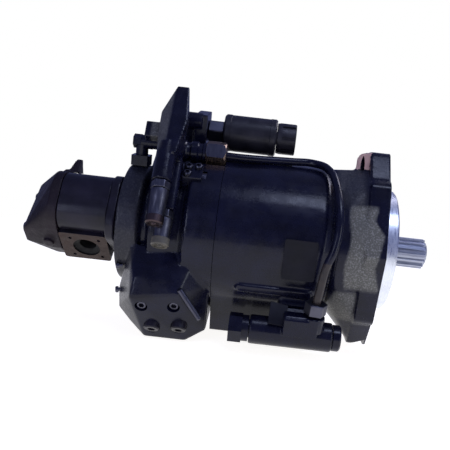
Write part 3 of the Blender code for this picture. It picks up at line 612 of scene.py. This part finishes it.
def housing_solids(eye):
    """The barrel, flange, neck, lugs, rib, foot, valve seat, web and eye."""
    fillet = [(SHOULDER_X - SHOULDER_FILLET + SHOULDER_FILLET * sin(radians(a)),
               BARREL_R - SHOULDER_FILLET + SHOULDER_FILLET * cos(radians(a))) for a in range(0, 91, 10)]
    outer = [(JOINT_X - SPARE, BARREL_R), *fillet, (SHOULDER_X + 4, NECK_R), (SPARE, NECK_R)]
    seat_front, seat_r = BEARING_SEAT[1], BEARING_SEAT_R + 0.4
    inner = [(SPARE, SHAFT_HOLE_R), (seat_front, SHAFT_HOLE_R), (seat_front, seat_r), (-50, seat_r),
             (-50, 54), (-66, CAVITY_R), (JOINT_X - SPARE, CAVITY_R)]
    small = [(NECK_FRONT, *p) for p in arc((0, 0), NECK_R + 1, 0, 355, 71)]
    large = [(NECK_BACK, y, min(z, NECK_TOP)) for y, z in flange_outline(0.95)]
    solids = [lathe(outer + inner), prism(flange_outline(), FLANGE_BACK, SPARE), wrap(small + large)]
    for side in (-1, 1):
        solids.append(wrap([(x, side * y, z) for x in (-57, -49) for y in (26, 50) for z in (-19.8, 19.8)]))
    rib = facing((RIB_X, 0, 0), polar(0, 1, RIB_ANGLE))
    solids.append(prism(rounded(38, 4.5, 4.4), BARREL_R - 4, BARREL_R + 4, rib))
    solids.append(prism(FOOT_SECTION, JOINT_X - SPARE, FOOT_FRONT))
    seat = facing((POWER_SEAT_X, 0, 0), polar(0, 1, POWER_ANGLE))
    solids.append(prism(rounded(20, 17, 4), 70, 86, seat))
    solids.append(wrap(EAR_WEB))
    arch = arc((0, 0), EYE_R, 0, 180, 24) + [(-EYE_R, EYE_FOOT), (EYE_R, EYE_FOOT)]
    solids.append(prism(arch, -8, EYE_FACE, eye))
    return solids


def housing_cuts(eye):
    """The flush ends, cradle, bearing seat, eye slot, ear bevel and bolt holes."""
    cuts = [rod(JOINT_X - 2 * SPARE, JOINT_X + 0.1, WIDE_R, 96), rod(-FACE_PLATE, 2 * SPARE, WIDE_R, 96),
            rod(-51, 51, SADDLE_R, 96, facing((TILT_X, 0, 0), (0, 1, 0)))]
    seat_rear, seat_front = BEARING_SEAT
    cuts.append(lathe([(seat_rear, 0), (seat_rear, BEARING_SEAT_R), (seat_front, BEARING_SEAT_R),
                       (seat_front, SHAFT_HOLE_R), (SPARE, SHAFT_HOLE_R), (SPARE, 0)]))
    cuts.append(prism(EYE_SLOT, -5, 6, eye))
    cuts.append(prism(EAR_BEVEL, -40, 40, facing((0, 0, 0), (0, -1, 0))))
    for side in (-1, 1):
        stepped = [(NECK_FRONT, 0), (NECK_FRONT, SPOT_FACE_R), (FLANGE_BACK, SPOT_FACE_R),
                   (FLANGE_BACK, BOLT_HOLE_R), (5, BOLT_HOLE_R), (5, 0)]
        cuts.append(lathe(stepped, 64, along_x((0, 0, side * BOLT_OFFSET))))
    return cuts


def make_housing():
    """The cast body with its shoulder, neck, ears, rib and seats."""
    eye = facing(EYE_PLACE, EYE_DIRECTION)
    to_eye = eye.inverted()
    housing = cast("housing_casting", housing_solids(eye))
    cut(housing, *housing_cuts(eye))
    smooth(housing)

    # The grit mask on the housing: sandy skin, plus a painted sheen on the upper neck slope.
    def sandy(p):
        if p.y > 0:
            return 0.8 * band(p.x, -42, -6, 4)
        edge = level_at(p.z, SAND_EDGE)
        upper = band(p.x, -36.5 + 1.5 * sin(p.z * 0.12), edge, 2.5) * band(p.z, -35, 47, 5)
        lower = band(p.x, -44, -22, 4) * band(p.z, -72, -40, 4)
        # Painted sheen: on the upper neck slope the mask is raised a little to stand in for a reflection.
        slope = band(p.x, -50, -24, 6) * band(p.z, 48, 84, 12)
        return max(upper, 0.8 * lower, 0.3 * slope)

    def bare(c, normal):
        if c.z < -72:
            in_ear = NECK_FRONT - 1 < c.x < FLANGE_BACK + 1
            return in_ear and (abs(c.z) - BOLT_OFFSET) ** 2 + c.y ** 2 < (SPOT_FACE_R + 0.2) ** 2
        local = to_eye @ c
        return c.z > NECK_TOP + 0.8 and max(abs(local.x), local.y) < EYE_R + 0.2 and local.z > 0.3

    def in_slot(c, normal):
        local = to_eye @ c
        return bare(c, normal) and local.z < EYE_FACE - 0.9 and abs(local.x) < 3

    mark(housing, "grit_and_sheen", sandy)
    fit(housing, PAINT, ROOT, ["pump_housing"])
    split_finish(housing, COPPER, bare)
    # The walls of the eye's slot are painted near-black: painted shade.
    split_finish(housing, HOLE_SHADE, in_slot)


def make_flange_face():
    """The machined face of the flange, with its pilot ring."""
    plate = to_object("flange_face", prism(flange_outline(), -FACE_PLATE, 0))
    pilot = [(-1, 0), (-1, PILOT_R), (PILOT_LENGTH - 1.6, PILOT_R), (PILOT_LENGTH, PILOT_R - 1.6),
             (PILOT_LENGTH, 0)]
    carve(plate, "UNION", [lathe(pilot, 160)])
    holes = [rod(-5, 5, BOLT_HOLE_R, 48, along_x((0, 0, side * BOLT_OFFSET))) for side in (-1, 1)]
    bore = lathe([(-5, 0), (-5, SHAFT_HOLE_R), (PILOT_LENGTH - 1, SHAFT_HOLE_R),
                  (PILOT_LENGTH + 1, SHAFT_HOLE_R + 2), (PILOT_LENGTH + 1, 0)])
    cut(plate, *holes, bore)
    smooth(plate)
    fit(plate, STEEL, ROOT)
    split_finish(plate, PLAIN_PAINT, lambda c, n: n.x < 0.5 and c.yz.length > PILOT_R + 2.5)


# ---------------------------------------------------------------- rear casting

def make_rear_casting():
    """The port plate: side ports, valve seat, rear rim and the faceted lower block."""
    profile = [(RIM_REAR + 0.2, 24), (RIM_REAR + 0.2, RIM_R), (RIM_FRONT, RIM_R), (RIM_FRONT + 4, 54),
               (-236, 54), (-232, 68), (-202, 68), (-196, BARREL_R - 1),
               (JOINT_X + SPARE, BARREL_R), (JOINT_X + SPARE, 26), (-214, 26), (-214, 24)]
    back = facing((0, 0, 0), polar(0, 1, BACK_PORT_ANGLE))
    pad = facing((0, 0, 0), polar(0, 1, VALVE_ANGLE))
    upper = facing((0, 0, 0), polar(0, 1, UPPER_ANGLE))
    solids = [lathe(profile), wrap(LOWER_BLOCK)]
    solids.append(prism(shifted(rounded(35.5, 37.5, 8), BACK_PORT_X), 40, BACK_PORT_REACH, back))
    solids.append(prism(shifted(rounded(5.3, 8.5, 3), VALVE_X - 8.5, 38), 40, 73.6, pad))
    solids.append(wrap([(x, y, z) for x in (-206, -192) for y in (20, 56) for z in (40, 79.4)], upper))
    casting = cast("rear_casting", solids, 1.4, 4)
    cuts = [rod(JOINT_X - 0.4, JOINT_X + 2 * SPARE, WIDE_R, 96), rod(RIM_REAR - 5, JOINT_X + 5, 24, 64),
            rod(-200, -160, 15, 48, along_x(polar(0, PIPE_R, PIPE_ANGLE))),
            rod(58, 96, BACK_PORT_R, 64, back @ Matrix.Translation((BACK_PORT_X, 0, 0))),
            rod(75, 113, PRESSURE_PORT_R, 64, facing((*PRESSURE_PORT, 0), (0, 0, -1)))]
    for seat in PLUG_SEATS:
        cuts.append(rod(-14, 22, 8.2, 48, facing(seat, polar(0, 1, PLUG_ANGLE))))
    for angle in SCREW_ANGLES:
        pocket = along_x(polar(0, SCREW_CIRCLE_R, angle))
        cuts.append(rod(SCREW_SEAT_X - 22, SCREW_SEAT_X, 7.5, 40, pocket))
    for seat in POCKET_SEATS:
        cuts.append(rod(-POCKET_DEPTH, 20, 6.2, 40, facing(seat, polar(0, 1, LOWER_BEVEL))))
    cut(casting, *cuts)
    smooth(casting)
    mark(casting, "grit_and_sheen", lambda p: 0.14 * band(p.x, RIM_REAR - 1, RIM_FRONT + 1.5, 1.5))
    fit(casting, PAINT, ROOT, ["port_plate"])


def socket_screw(name, seat, direction, head_r, head_h, replaced=()):
    """A cap screw's head, with a hexagon socket, standing on its seat."""
    place = facing(seat, direction)
    profile = [(-3, 0), (-3, head_r * 0.6), (0.3, head_r * 0.6), (0.3, head_r), (head_h - 0.8, head_r),
               (head_h, head_r - 0.8), (head_h, 0)]
    made = to_object(name, lathe(profile, 40, place))
    cut(made, prism(hexagon(head_r * 1.05), head_h * 0.45, head_h + 1, place))
    smooth(made)
    fit(made, DARK_STEEL, ROOT, replaced)


def make_screws():
    """The screws in the rear casting's pockets, round its joint and by its rim, and its two plugs."""
    outward = polar(0, 1, LOWER_BEVEL)
    for i, seat in enumerate(POCKET_SEATS, 1):
        socket_screw(f"pocket_screw_{i}", Vector(seat) - POCKET_DEPTH * outward, outward, 5.0, 6.0)
    for i, angle in enumerate(SCREW_ANGLES, 1):
        seat = polar(SCREW_SEAT_X, SCREW_CIRCLE_R, angle)
        socket_screw(f"joint_screw_{i}", seat, (-1, 0, 0), 6.0, 7.8, [f"port_plate_screw_{i}"])
    for i, seat in enumerate(RIM_SCREWS, 1):
        socket_screw(f"rim_screw_{i}", seat, (-1, -0.25, -0.1), 3.2, 3.6)
    for i, seat in enumerate(PLUG_SEATS, 1):
        place = facing(seat, polar(0, 1, PLUG_ANGLE))
        profile = [(-13.4, 0), (-13.4, 7.8), (2.3, 7.8), (3.4, 6.9), (3.4, 0)]
        plug = to_object(f"large_plug_{i}", lathe(profile, 48, place))
        cut(plug, prism(hexagon(7), -1.5, 5, place))
        smooth(plug)
        fit(plug, GEAR_PAINT, ROOT, [f"port_plug_{i}"])


# ---------------------------------------------------------------- gear pump

def gear_section(half_x, half_y, corner, drop=0.0):
    """A round-cornered section of the gear pump, as (y, z) points; drop moves it towards the port side."""
    long = Vector((cos(radians(GEAR_ANGLE)), sin(radians(GEAR_ANGLE))))
    short = Vector((-long.y, long.x))
    middle = long * GEAR_OFFSET / 2 + short * drop
    return [tuple(middle + long * x + short * y) for x, y in rounded(half_x, half_y, corner, 12)]


def port_place(x, aside):
    """Local Z runs out through the gear pump's port; aside moves the axis up along the port face."""
    place = facing((0, 0, 0), polar(0, 1, PORT_TURN))
    side = 1 if place.to_3x3().col[1].dot(polar(0, 1, PORT_TURN - 90)) > 0 else -1
    return place @ Matrix.Translation((x, side * aside, 0))


def port_point(aside, rise):
    """A (y, z) point given along the port face and out through it."""
    point = polar(0, aside, PORT_TURN - 90) + polar(0, rise, PORT_TURN)
    return point.y, point.z


def lofted(sections):
    """The convex solid through (x, outline) sections."""
    return wrap([(x, y, z) for x, outline in sections for y, z in outline])


def make_gear_pump():
    """The mounting plate and the gear body."""
    front = to_object("gear_front_plate",
                      prism(gear_section(46.5, 34.5, 19, 3.5), GEAR_PLATE_REAR + 0.5, RIM_REAR - 0.3))
    bevelled(front, 1.2, 3)
    fit(smooth(front), GEAR_PAINT, ROOT, ["gear_pump_front_plate"])
    body = to_object("gear_body", prism(gear_section(45, 30, 21), GEAR_BODY_REAR + 0.5, GEAR_PLATE_REAR))
    bevelled(body, 0.7, 2)
    fit(smooth(body), GEAR_PAINT, ROOT, ["gear_pump_body"])


def make_port_block():
    """The block with the port's recess and four screw holes."""
    port = port_place(GEAR_PORT_X, 6.5)
    to_port = port.inverted()
    length = GEAR_PLATE_REAR - GEAR_BODY_REAR
    middle = port_place((GEAR_PLATE_REAR + GEAR_BODY_REAR) / 2, 7.3)
    block = to_object("gear_port_block", prism(rounded(length / 2 - 0.5, 21.2, 3), 15, PORT_RISE, middle))
    recess = [(PORT_RISE - 26, 0), (PORT_RISE - 26, PORT_R), (PORT_RISE - 5, PORT_R),
              (PORT_RISE - 2.2, PORT_RECESS_R), (PORT_RISE + 9, PORT_RECESS_R), (PORT_RISE + 9, 0)]
    cut(block, lathe(recess, 64, port))
    for x, y in PORT_SCREWS:
        cut(block, rod(PORT_RISE - 9, PORT_RISE + 9, 1.7, 24, port @ Matrix.Translation((x, y, 0))))
    bevelled(block, 1.4, 3)

    def in_port(c, normal):
        local = to_port @ c
        return local.z < PORT_RISE - 0.8 and local.xy.length < PORT_RECESS_R + 0.4

    fit(smooth(block), GEAR_PAINT, ROOT)
    split_finish(block, PORT_FACE, lambda c, n: (to_port @ c).z > PORT_RISE - 0.7)
    # The port's recess and hole are painted near-black: painted shade.
    split_finish(block, HOLE_SHADE, in_port)


def make_gear_cover():
    """The cast rear cover, with its step, lug and boss, and its four screws."""
    front_ring = gear_section(44.6, 30.8, 20) + [port_point(*corner) for corner in COVER_FRONT_CORNERS]
    rear_ring = [port_point(*corner) for corner in COVER_REAR_CORNERS]
    front = GEAR_BODY_REAR - 0.3
    bell = lofted([(front, front_ring), (GEAR_BODY_REAR - 9, front_ring), (GEAR_COVER_REAR, rear_ring)])
    boss = rod(30, 49.5, 5.4, 32, port_place(-337, 12))
    cover = cast("gear_rear_cover", [bell, wrap(COVER_STEP), wrap(COVER_LUG), boss], 1.0, 4)
    cut(cover, prism(rounded(90, 90, 5), front, GEAR_BODY_REAR + 12))
    fit(smooth(cover), COVER_CAST, ROOT, ["gear_pump_rear_cover"])
    for i, corner in enumerate(COVER_SCREWS, 1):
        seat = (GEAR_COVER_REAR, *port_point(*corner))
        socket_screw(f"cover_screw_{i}", seat, (-1, 0, 0), 4.6, 4.0)


# ---------------------------------------------------------------- control valve

def valve_lane(x=0.0, distance=0.0):
    """Local Z runs down the valve at x and a distance; also the sign of local Y away from the shaft."""
    place = facing((VALVE_X, 0, 0), polar(0, 1, VALVE_ANGLE + 90))
    side = 1 if place.to_3x3().col[1].dot(polar(0, 1, VALVE_ANGLE)) > 0 else -1
    return place @ Matrix.Translation((x, side * distance, 0)), side


def make_control_valve():
    """The leaning valve body, its lock nuts and its two adjusters."""
    place, side = valve_lane()
    corners = [Vector((x, side * out, -rise)) for x, rise, out in VALVE_CORNERS]
    pressure = valve_lane(*PRESSURE_STAGE[:2])[0]
    flow = valve_lane(*FLOW_STAGE[:2])[0]
    shoulder = [(x, side * out, -rise) for x in (-26, -8) for rise, out in VALVE_SHOULDER]
    solids = [wrap(corners, place), rod(-48, PRESSURE_STAGE[2] - 0.2, 9.8, 64, pressure),
              prism(rounded(8.8, 7.3, 3), -40, FLOW_STAGE[2] - 0.2, flow), wrap(shoulder, place)]
    body = cast("valve_body", solids, 0.9, 5)
    for x, distance, end, _ in (PRESSURE_STAGE, FLOW_STAGE):
        cut(body, rod(end - 50, end + 2, 5.3, 32, valve_lane(x, distance)[0]))
    smooth(body)

    def sandy(p):
        x, y, z = place.inverted() @ p
        return 0.55 * band(side * y, 60, 102, 3) * band(-z, 40, 104, 6) * band(x, -20, 0.5, 2)

    mark(body, "grit_and_sheen", sandy)
    fit(body, PAINT, ROOT, ["control_valve_body"])
    stages = (("pressure", PRESSURE_STAGE, PRESSURE_NUT, BROWN_CAP, "brown_cap"),
              ("flow", FLOW_STAGE, FLOW_NUT, PALE_CAP, "pale_cap"))
    for name, (x, distance, end, tip), size, finish, slot in stages:
        spot = valve_lane(x, distance)[0]
        nut = to_object(f"{name}_nut", prism(hexagon(size), end + 0.4, end + 7.9, spot))
        cut(nut, rod(end - 2, end + 12, 5.4, 40, spot))
        bevelled(nut, 0.6, 2)
        fit(smooth(nut), DARK_STEEL, ROOT, [f"{name}_lock_nut"])
        long = tip - end
        profile = [(end - 6, 0), (end - 6, 5), (end + 8.3, 5), (end + 8.3, 7.6), (end + 9.2, 8.4),
                   (end + 0.42 * long, 8.4), (end + 0.44 * long, 8.0), (tip - 9, 8.0), (tip - 8.6, 8.5),
                   (tip - 2.2, 8.5), (tip - 0.9, 7.4), (tip - 0.9, 5.2), (tip - 1.8, 5.0), (tip - 1.8, 3.0),
                   (tip - 0.4, 2.4), (tip, 1.2), (tip, 0)]
        cap = to_object(f"{name}_cap", lathe(profile, 64, spot))
        fit(smooth(cap), DARK_STEEL, f"{name}_adjuster", [f"{name}_adjuster"])
        split_finish(cap, finish, lambda c, n: (spot.inverted() @ c).z > tip - 8.8)


# ---------------------------------------------------------------- solenoid valve and control line

def make_solenoid():
    """The solenoid valve: base with two lobes, hexagon tube, coil and ribbed plug socket."""
    upright = facing((0, 0, 0), polar(0, 1, UPPER_ANGLE))
    place = along_x(upright @ Vector(SOLENOID_AXIS))
    base = cast("solenoid_block", [
        wrap([(x, y, z) for x in (-205.7, -192.3) for y in (18.4, 57.6) for z in (80.2, 119.6)], upright),
        wrap([(x, y, z) for x in (-215.3, -204) for y in (21, 49) for z in (80.8, 108.8)], upright),
        rod(-216.7, -198, 8.8, 48, along_x(upright @ Vector((0, 24, 112))))], 0.9, 4)
    cut(base, rod(-204, -180, 8.5, 48, place))
    fit(smooth(base), PLAIN_PAINT, ROOT, ["solenoid_base"])
    tube = to_object("solenoid_hexagon", prism(hexagon(22), -191.6, -175.4, place))
    carve(tube, "UNION", [rod(-202, -191, 8, 48, place), rod(-176, -112, 7, 48, place)])
    bevelled(tube, 0.8, 2)
    fit(smooth(tube), DARK_STEEL, ROOT, ["solenoid_tube"])
    coil_profile = [(-175, 7.4), (-175, 18.2), (-173.2, 20), (-168, 20), (-167.6, 19.6), (-125.4, 19.6),
                    (-125, 20), (-119.6, 20), (-118, 18.6), (-118, 7.4)]
    coil = to_object("solenoid_winding", lathe(coil_profile, 96, place))
    fit(smooth(coil), PLASTIC, ROOT, ["solenoid_coil"])
    shell = [(-117.7, 7.4), (-117.7, 16), (-114, 16.8), (-98, 16.8), (-97, 16.2), (-97, 12.4), (-108, 12.4),
             (-108, 7.4)]
    socket = to_object("solenoid_plug_socket", lathe(shell, 96, place))
    for angle in range(0, 360, 45):
        turned = place @ Matrix.Rotation(radians(angle), 4, "Z")
        cut(socket, wrap([(x, y, z) for x in (15.4, 19) for y in (-1.6, 1.6) for z in (-112, -95)], turned))
    fit(smooth(socket), PLASTIC, ROOT, ["solenoid_socket"])


def tube(name, route, thick):
    """A round pipe through (x, radius, angle) points."""
    curve = bpy.data.curves.new(name, "CURVE")
    curve.dimensions = "3D"
    curve.bevel_depth = thick / 2 * MM
    curve.bevel_resolution = 8
    curve.resolution_u = 16
    curve.use_fill_caps = True
    spline = curve.splines.new("BEZIER")
    spline.bezier_points.add(len(route) - 1)
    for point, spot in zip(spline.bezier_points, route):
        point.co = polar(*spot) * MM
        point.handle_left_type = point.handle_right_type = "AUTO"
    path = bpy.data.objects.new("path", curve)
    bpy.context.scene.collection.objects.link(path)
    mesh = bpy.data.meshes.new_from_object(path.evaluated_get(bpy.context.evaluated_depsgraph_get()))
    bpy.data.objects.remove(path, do_unlink=True)
    made = bpy.data.objects.new(name, mesh)
    bpy.context.scene.collection.objects.link(made)
    return made


def make_control_line():
    """The adapter with its two rings, the plated union nut, the pipe and the lower union nut."""
    place = along_x(polar(0, PIPE_R, PIPE_ANGLE))
    neck = NUT_X - 0.4
    profile = [(-226, 0), (-226, 9), (-218, 9), (-217, 10), (-216, 11.7), (-208.5, 11.7), (-207.5, 10.4),
               (-205.5, 9.6), (-203.5, 9.6), (-202, 11.3), (-196, 11.3), (-194.6, 9.6), (-191, 9.6),
               (-190, 10.8), (neck, 10.8), (neck, 0)]
    adapter = to_object("line_adapter", lathe(profile, 64, place))
    fit(smooth(adapter), PLAIN_PAINT, ROOT, ["upper_adapter"])
    turned = place @ Matrix.Rotation(radians(120 - PIPE_ANGLE), 4, "Z")
    low, high = NUT_X + 0.1, NUT_X + 20.2
    nut = to_object("union_nut", prism(hexagon(24), low, high, turned))
    dome = [(low, 0), (low, 12.4), (low + 1.8, 13.9), (high - 2.4, 13.9), (high, 12.0), (high, 0)]
    carve(nut, "INTERSECT", [lathe(dome, 96, place)])
    cut(nut, rod(NUT_X + 3, -160, PIPE_THICK / 2 + 0.6, 32, place))
    bevelled(nut, 0.5, 2)
    fit(smooth(nut), PLATED, ROOT, ["upper_union_nut"])
    # Flats facing -Y get dark steel: a painted reflection of dark surroundings on the plated nut.
    split_finish(nut, DARK_STEEL, lambda c, n: n.y < -0.8)
    route = ((NUT_X + 5, PIPE_R, PIPE_ANGLE), (-150, 84.9, 108), (-100, 84.6, 102), (-76, 85.2, 102),
             (-62.5, 85.4, 112), (-53, 86, 138), (-50, 89, 160), (-53, 90.6, 177), (-58, 91, 187),
             (-61, 93.6, 202), (-62.4, 97.3, 209.2), (-63, 100.2, 213.3))
    pipe = tube("control_line", route, PIPE_THICK)
    fit(smooth(pipe, 40), PLAIN_PAINT, ROOT, ["control_pipe"])
    # The pipe's lower run gets the brownish paint: a painted warm reflection.
    split_finish(pipe, PIPE_WARM_REFLECTION, lambda c, n: c.z < -8 and c.x > -100)
    rise = polar(0, 1, UPPER_ANGLE)
    lower = facing(polar(BOSS_X, BOSS_R, UPPER_ANGLE + 90) - 44 * rise, rise + Vector((0.06, 0, 0)))
    lower_nut = to_object("line_nut", prism(hexagon(19), 2.2, 13.8, lower))
    cut(lower_nut, rod(3, 17, PIPE_THICK / 2 + 0.6, 32, lower))
    bevelled(lower_nut, 0.7, 2)
    fit(smooth(lower_nut), DARK_STEEL, ROOT, ["lower_union_nut"])


# ---------------------------------------------------------------- power valve

def make_power_valve():
    """The power valve at the lower front: block, long cylinder, boss, hexagon cap and end plug."""
    place = along_x(polar(0, POWER_DISTANCE, POWER_ANGLE))
    lift = facing((POWER_SEAT_X, 0, 0), polar(0, 1, POWER_ANGLE))
    boss_place = facing(polar(BOSS_X, BOSS_R, UPPER_ANGLE + 90), polar(0, 1, UPPER_ANGLE))
    solids = [rod(-123.8, -42.2, 14.4, 96, place, 0.8), prism(rounded(18.4, 14.8, 3), 86.4, 104, lift),
              rod(-59.8, -44.2, 10.8, 64, boss_place),
              wrap([(x, y, z) for x in (-91.7, -59.3) for y, z in POWER_HEAD])]
    body = cast("power_valve_casting", solids, 0.9, 4)
    cut(body, rod(-122, -50, 7.3, 48, place), rod(-130, -116, 9.3, 48, place))
    fit(smooth(body), PLAIN_PAINT, ROOT, ["power_valve_body"])
    cap = to_object("power_valve_hexagon", prism(hexagon(26), -144, -131, place))
    carve(cap, "UNION", [rod(-131.5, -124.4, 13.0, 96, place), rod(-126, -117, 9, 64, place)])
    bevelled(cap, 0.9, 3)
    fit(smooth(cap), PLAIN_PAINT, ROOT, ["power_valve_cap"])
    profile = [(-41.7, 0), (-41.7, 12.4), (-41, 13), (-35, 13), (-33.4, 11.6), (-33.4, 8), (-34.4, 7.6),
               (-34.4, 0)]
    plug = to_object("power_valve_end_plug", lathe(profile, 96, place))
    fit(smooth(plug), PLAIN_PAINT, ROOT, ["power_valve_plug"])


def make_drain_fitting():
    """The elbow fitting on top of the rim."""
    top = facing((DRAIN_X, 0, 0), polar(0, 1, DRAIN_ANGLE))
    cross = along_x(polar(0, RIM_R + 25, DRAIN_ANGLE))
    flats = cross @ Matrix.Rotation(radians(30), 4, "Z")
    fitting = to_object("drain_elbow", prism(rounded(9.3, 9.3, 2), RIM_R + 0.5, RIM_R + 11, top))
    carve(fitting, "UNION", [
        rod(RIM_R + 10, RIM_R + 24, 6.4, 48, top), rod(-258, -239.2, 7.0, 64, cross, 0.8),
        prism(hexagon(12.8), -265.8, -257.5, flats), rod(-250, -246, 7.4, 64, cross)])
    bevelled(fitting, 0.6, 2)
    fit(smooth(fitting), PLAIN_PAINT, ROOT, ["drain_fitting"])


def make_power_label():
    """The blank label on the power valve's foot."""
    place = facing((-97.5, -72.6, -65.0), polar(0, 1, 142))
    label = to_object("power_valve_label", prism([(-9, -12), (7, -13), (9.5, 9), (-8, 12)], 0, 1.0, place))
    bevelled(label, 0.3, 2)
    fit(smooth(label), PLATE_LABEL)


def make_pilot_fittings():
    """The small plugs, screws and olive cap between the control valve and the barrel."""
    outward = polar(0, 1, PILOT_ANGLE)
    at_side = facing((0, 0, 0), outward)
    corners = [(x, y, z) for x in (-206, -186) for y in (-9, 12) for z in (60, 82.5)]
    base = cast("pilot_block", [wrap(corners, at_side)], 0.8, 4)
    fit(smooth(base), PLAIN_PAINT)
    for i, (x, y) in enumerate(((-200.5, 5), (-191, 6), (-200.5, -5)), 1):
        socket_screw(f"pilot_screw_{i}", at_side @ Vector((x, y, 82.3)), outward, 3.6, 4.2)
    down = polar(0, 1, PILOT_ANGLE + 90)
    stem = at_side @ Vector((-193, 11, 77))
    hexed = to_object("pilot_hexagon", prism(hexagon(10), -2, 7, facing(stem, down)))
    bevelled(hexed, 0.5, 2)
    fit(smooth(hexed), DARK_STEEL)
    profile = [(6, 0), (6, 4.2), (13, 4.6), (17, 4.6), (19, 3.4), (19.5, 0)]
    cap = to_object("pilot_olive_cap", lathe(profile, 48, facing(stem, down)))
    fit(smooth(cap), PALE_CAP)


def make_ribbed_bar():
    """A short ribbed bar that lies across the lower block's edge."""
    start, end = Vector((-194, -83, -50)), Vector((-174, -67, -81))
    length = (end - start).length
    pitch = 1.5
    profile = [(0, 0)]
    for i in range(int(length / pitch)):
        profile += [(pitch * i, 2.4), (pitch * i + 0.9, 2.9)]
    profile += [(length, 2.4), (length, 0)]
    bar = to_object("ribbed_bar", lathe(profile, 32, facing(start, end - start)))
    fit(smooth(bar), DARK_STEEL)


# ---------------------------------------------------------------- CAD nodes that stay

def refine(name, finish, bevel=0.5, angle=30):
    """Keep a CAD node: weld its split edges, round them, and give it its finish."""
    node = nodes[name]
    weld = node.modifiers.new("weld", "WELD")
    weld.merge_threshold = 0.00001
    if bevel:
        bevelled(node, bevel, 2, angle)
    node.data.materials.clear()
    node.data.materials.append(finish)


KEPT = {
    "nameplate": (PLATE_LABEL, 0.3), "drive_shaft": (SPLINE_STEEL, 0.3), "shaft_seal": (RUBBER, 0.3),
    "cylinder_barrel": (BRONZE, 0.4), "slipper_ring": (BRONZE, 0.3),
    "cradle_bearing_left": (BRONZE, 0.2), "cradle_bearing_right": (BRONZE, 0.2),
}


def keep_the_rest():
    """Every CAD node that isn't replaced gets rounded edges and a finish."""
    for name, node in nodes.items():
        if not node.hide_render:
            refine(name, *KEPT.get(name, (DARK_STEEL, 0.3)))


# ---------------------------------------------------------------- camera, light and floor

# In metres, degrees, and parts of the picture's width
VIEW_TILT = 7.0
VIEW_ROLL = 6.5
VIEW_DISTANCE = 0.635
VIEW_AIM = Vector((-0.1204, 0.0, 0.0))
VIEW_SHIFT = (-0.08444, 0.02444)
LENS = 46.8
SENSOR = 36.0
SKY_BLUE = (0.4, 0.46, 1.0, 1.0)
FLOOR_GREYS = ((0.6, 0.585, 0.56), (0.57, 0.555, 0.53))
FLOOR_R = 900.0


def make_camera():
    """Look along +Y from a little above, rolled so that the shaft slopes down to the right."""
    tilt, roll = radians(VIEW_TILT), radians(VIEW_ROLL)
    back = Vector((0, -cos(tilt), sin(tilt)))
    level = Vector((0, sin(tilt), cos(tilt)))
    right = Vector((1, 0, 0)) * cos(roll) + level * sin(roll)
    up = level * cos(roll) - Vector((1, 0, 0)) * sin(roll)
    camera = bpy.data.objects.new("camera", bpy.data.cameras.new("camera"))
    bpy.context.scene.collection.objects.link(camera)
    turn = Matrix((right, up, back)).transposed().to_4x4()
    camera.matrix_world = Matrix.Translation(VIEW_AIM + back * VIEW_DISTANCE) @ turn
    camera.data.sensor_width = SENSOR
    camera.data.lens = LENS
    camera.data.shift_x, camera.data.shift_y = VIEW_SHIFT
    bpy.context.scene.camera = camera


def area_light(name, place, aim, size, energy, colour):
    """A soft light panel; its place, aim and size are in metres."""
    light = bpy.data.lights.new(name, "AREA")
    light.shape = "RECTANGLE"
    light.size, light.size_y = size
    light.energy = energy
    light.color = colour
    made = bpy.data.objects.new(name, light)
    made.matrix_world = facing(place, Vector(place) - Vector(aim), (1, 0, 0))
    bpy.context.scene.collection.objects.link(made)


def make_floor():
    """A pale round floor with a faint glow."""
    top = cad_low.z / MM - 2
    floor = to_object("floor", prism(arc((-150, 0), FLOOR_R, 0, 354, 59), top - 10, top, Matrix()))
    shade = Shade("pale_floor", FLOOR_GREYS[0], 0.8, specular=0.1)
    shade.set("Base Color", shade.mix(shade.noise(3, 2), *FLOOR_GREYS))
    shade.set("Emission Color", (1.0, 0.985, 0.96, 1.0))
    shade.set("Emission Strength", 0.93)
    floor.data.materials.append(shade.material)


def make_sky():
    """A dim blue sky, which the camera itself sees as white."""
    world = bpy.data.worlds.new("studio")
    bpy.context.scene.world = world
    world.use_nodes = True
    tree = world.node_tree
    tree.nodes.clear()
    output = tree.nodes.new("ShaderNodeOutputWorld")
    path = tree.nodes.new("ShaderNodeLightPath")
    seen = tree.nodes.new("ShaderNodeBackground")
    lit = tree.nodes.new("ShaderNodeBackground")
    blend = tree.nodes.new("ShaderNodeMixShader")
    seen.inputs["Color"].default_value = (1.0, 1.0, 1.0, 1.0)
    lit.inputs["Color"].default_value = SKY_BLUE
    lit.inputs["Strength"].default_value = 0.3
    tree.links.new(path.outputs["Is Camera Ray"], blend.inputs[0])
    tree.links.new(lit.outputs[0], blend.inputs[1])
    tree.links.new(seen.outputs[0], blend.inputs[2])
    tree.links.new(blend.outputs[0], output.inputs[0])


def make_studio():
    """The floor, the sky and five soft lights."""
    make_floor()
    make_sky()
    middle = (-0.15, 0, 0)
    area_light("sky_panel", (0.12, -0.4, 0.85), middle, (0.5, 0.25), 3.0, (0.62, 0.7, 1.0))
    area_light("front_panel", (-0.75, -1.0, 0.25), middle, (0.2, 0.6), 2.1, (0.7, 0.76, 1.0))
    area_light("rim_panel", (0.6, -0.6, 0.2), middle, (0.25, 0.6), 1.7, (0.86, 0.92, 1.0))
    area_light("low_panel", (0.1, -0.7, -0.2), middle, (0.5, 0.15), 0.5, (1.0, 0.95, 0.85))
    area_light("back_panel", (0.42, 0.4, 0.7), (0, 0, 0), (0.4, 0.3), 2.0, (0.85, 0.84, 1.0))
    bpy.context.scene.view_settings.view_transform = "Standard"


make_camera()
make_studio()
make_housing()
make_flange_face()
make_rear_casting()
make_screws()
make_gear_pump()
make_port_block()
make_gear_cover()
make_control_valve()
make_solenoid()
make_control_line()
make_power_valve()
make_drain_fitting()
make_power_label()
make_pilot_fittings()
make_ribbed_bar()
keep_the_rest()
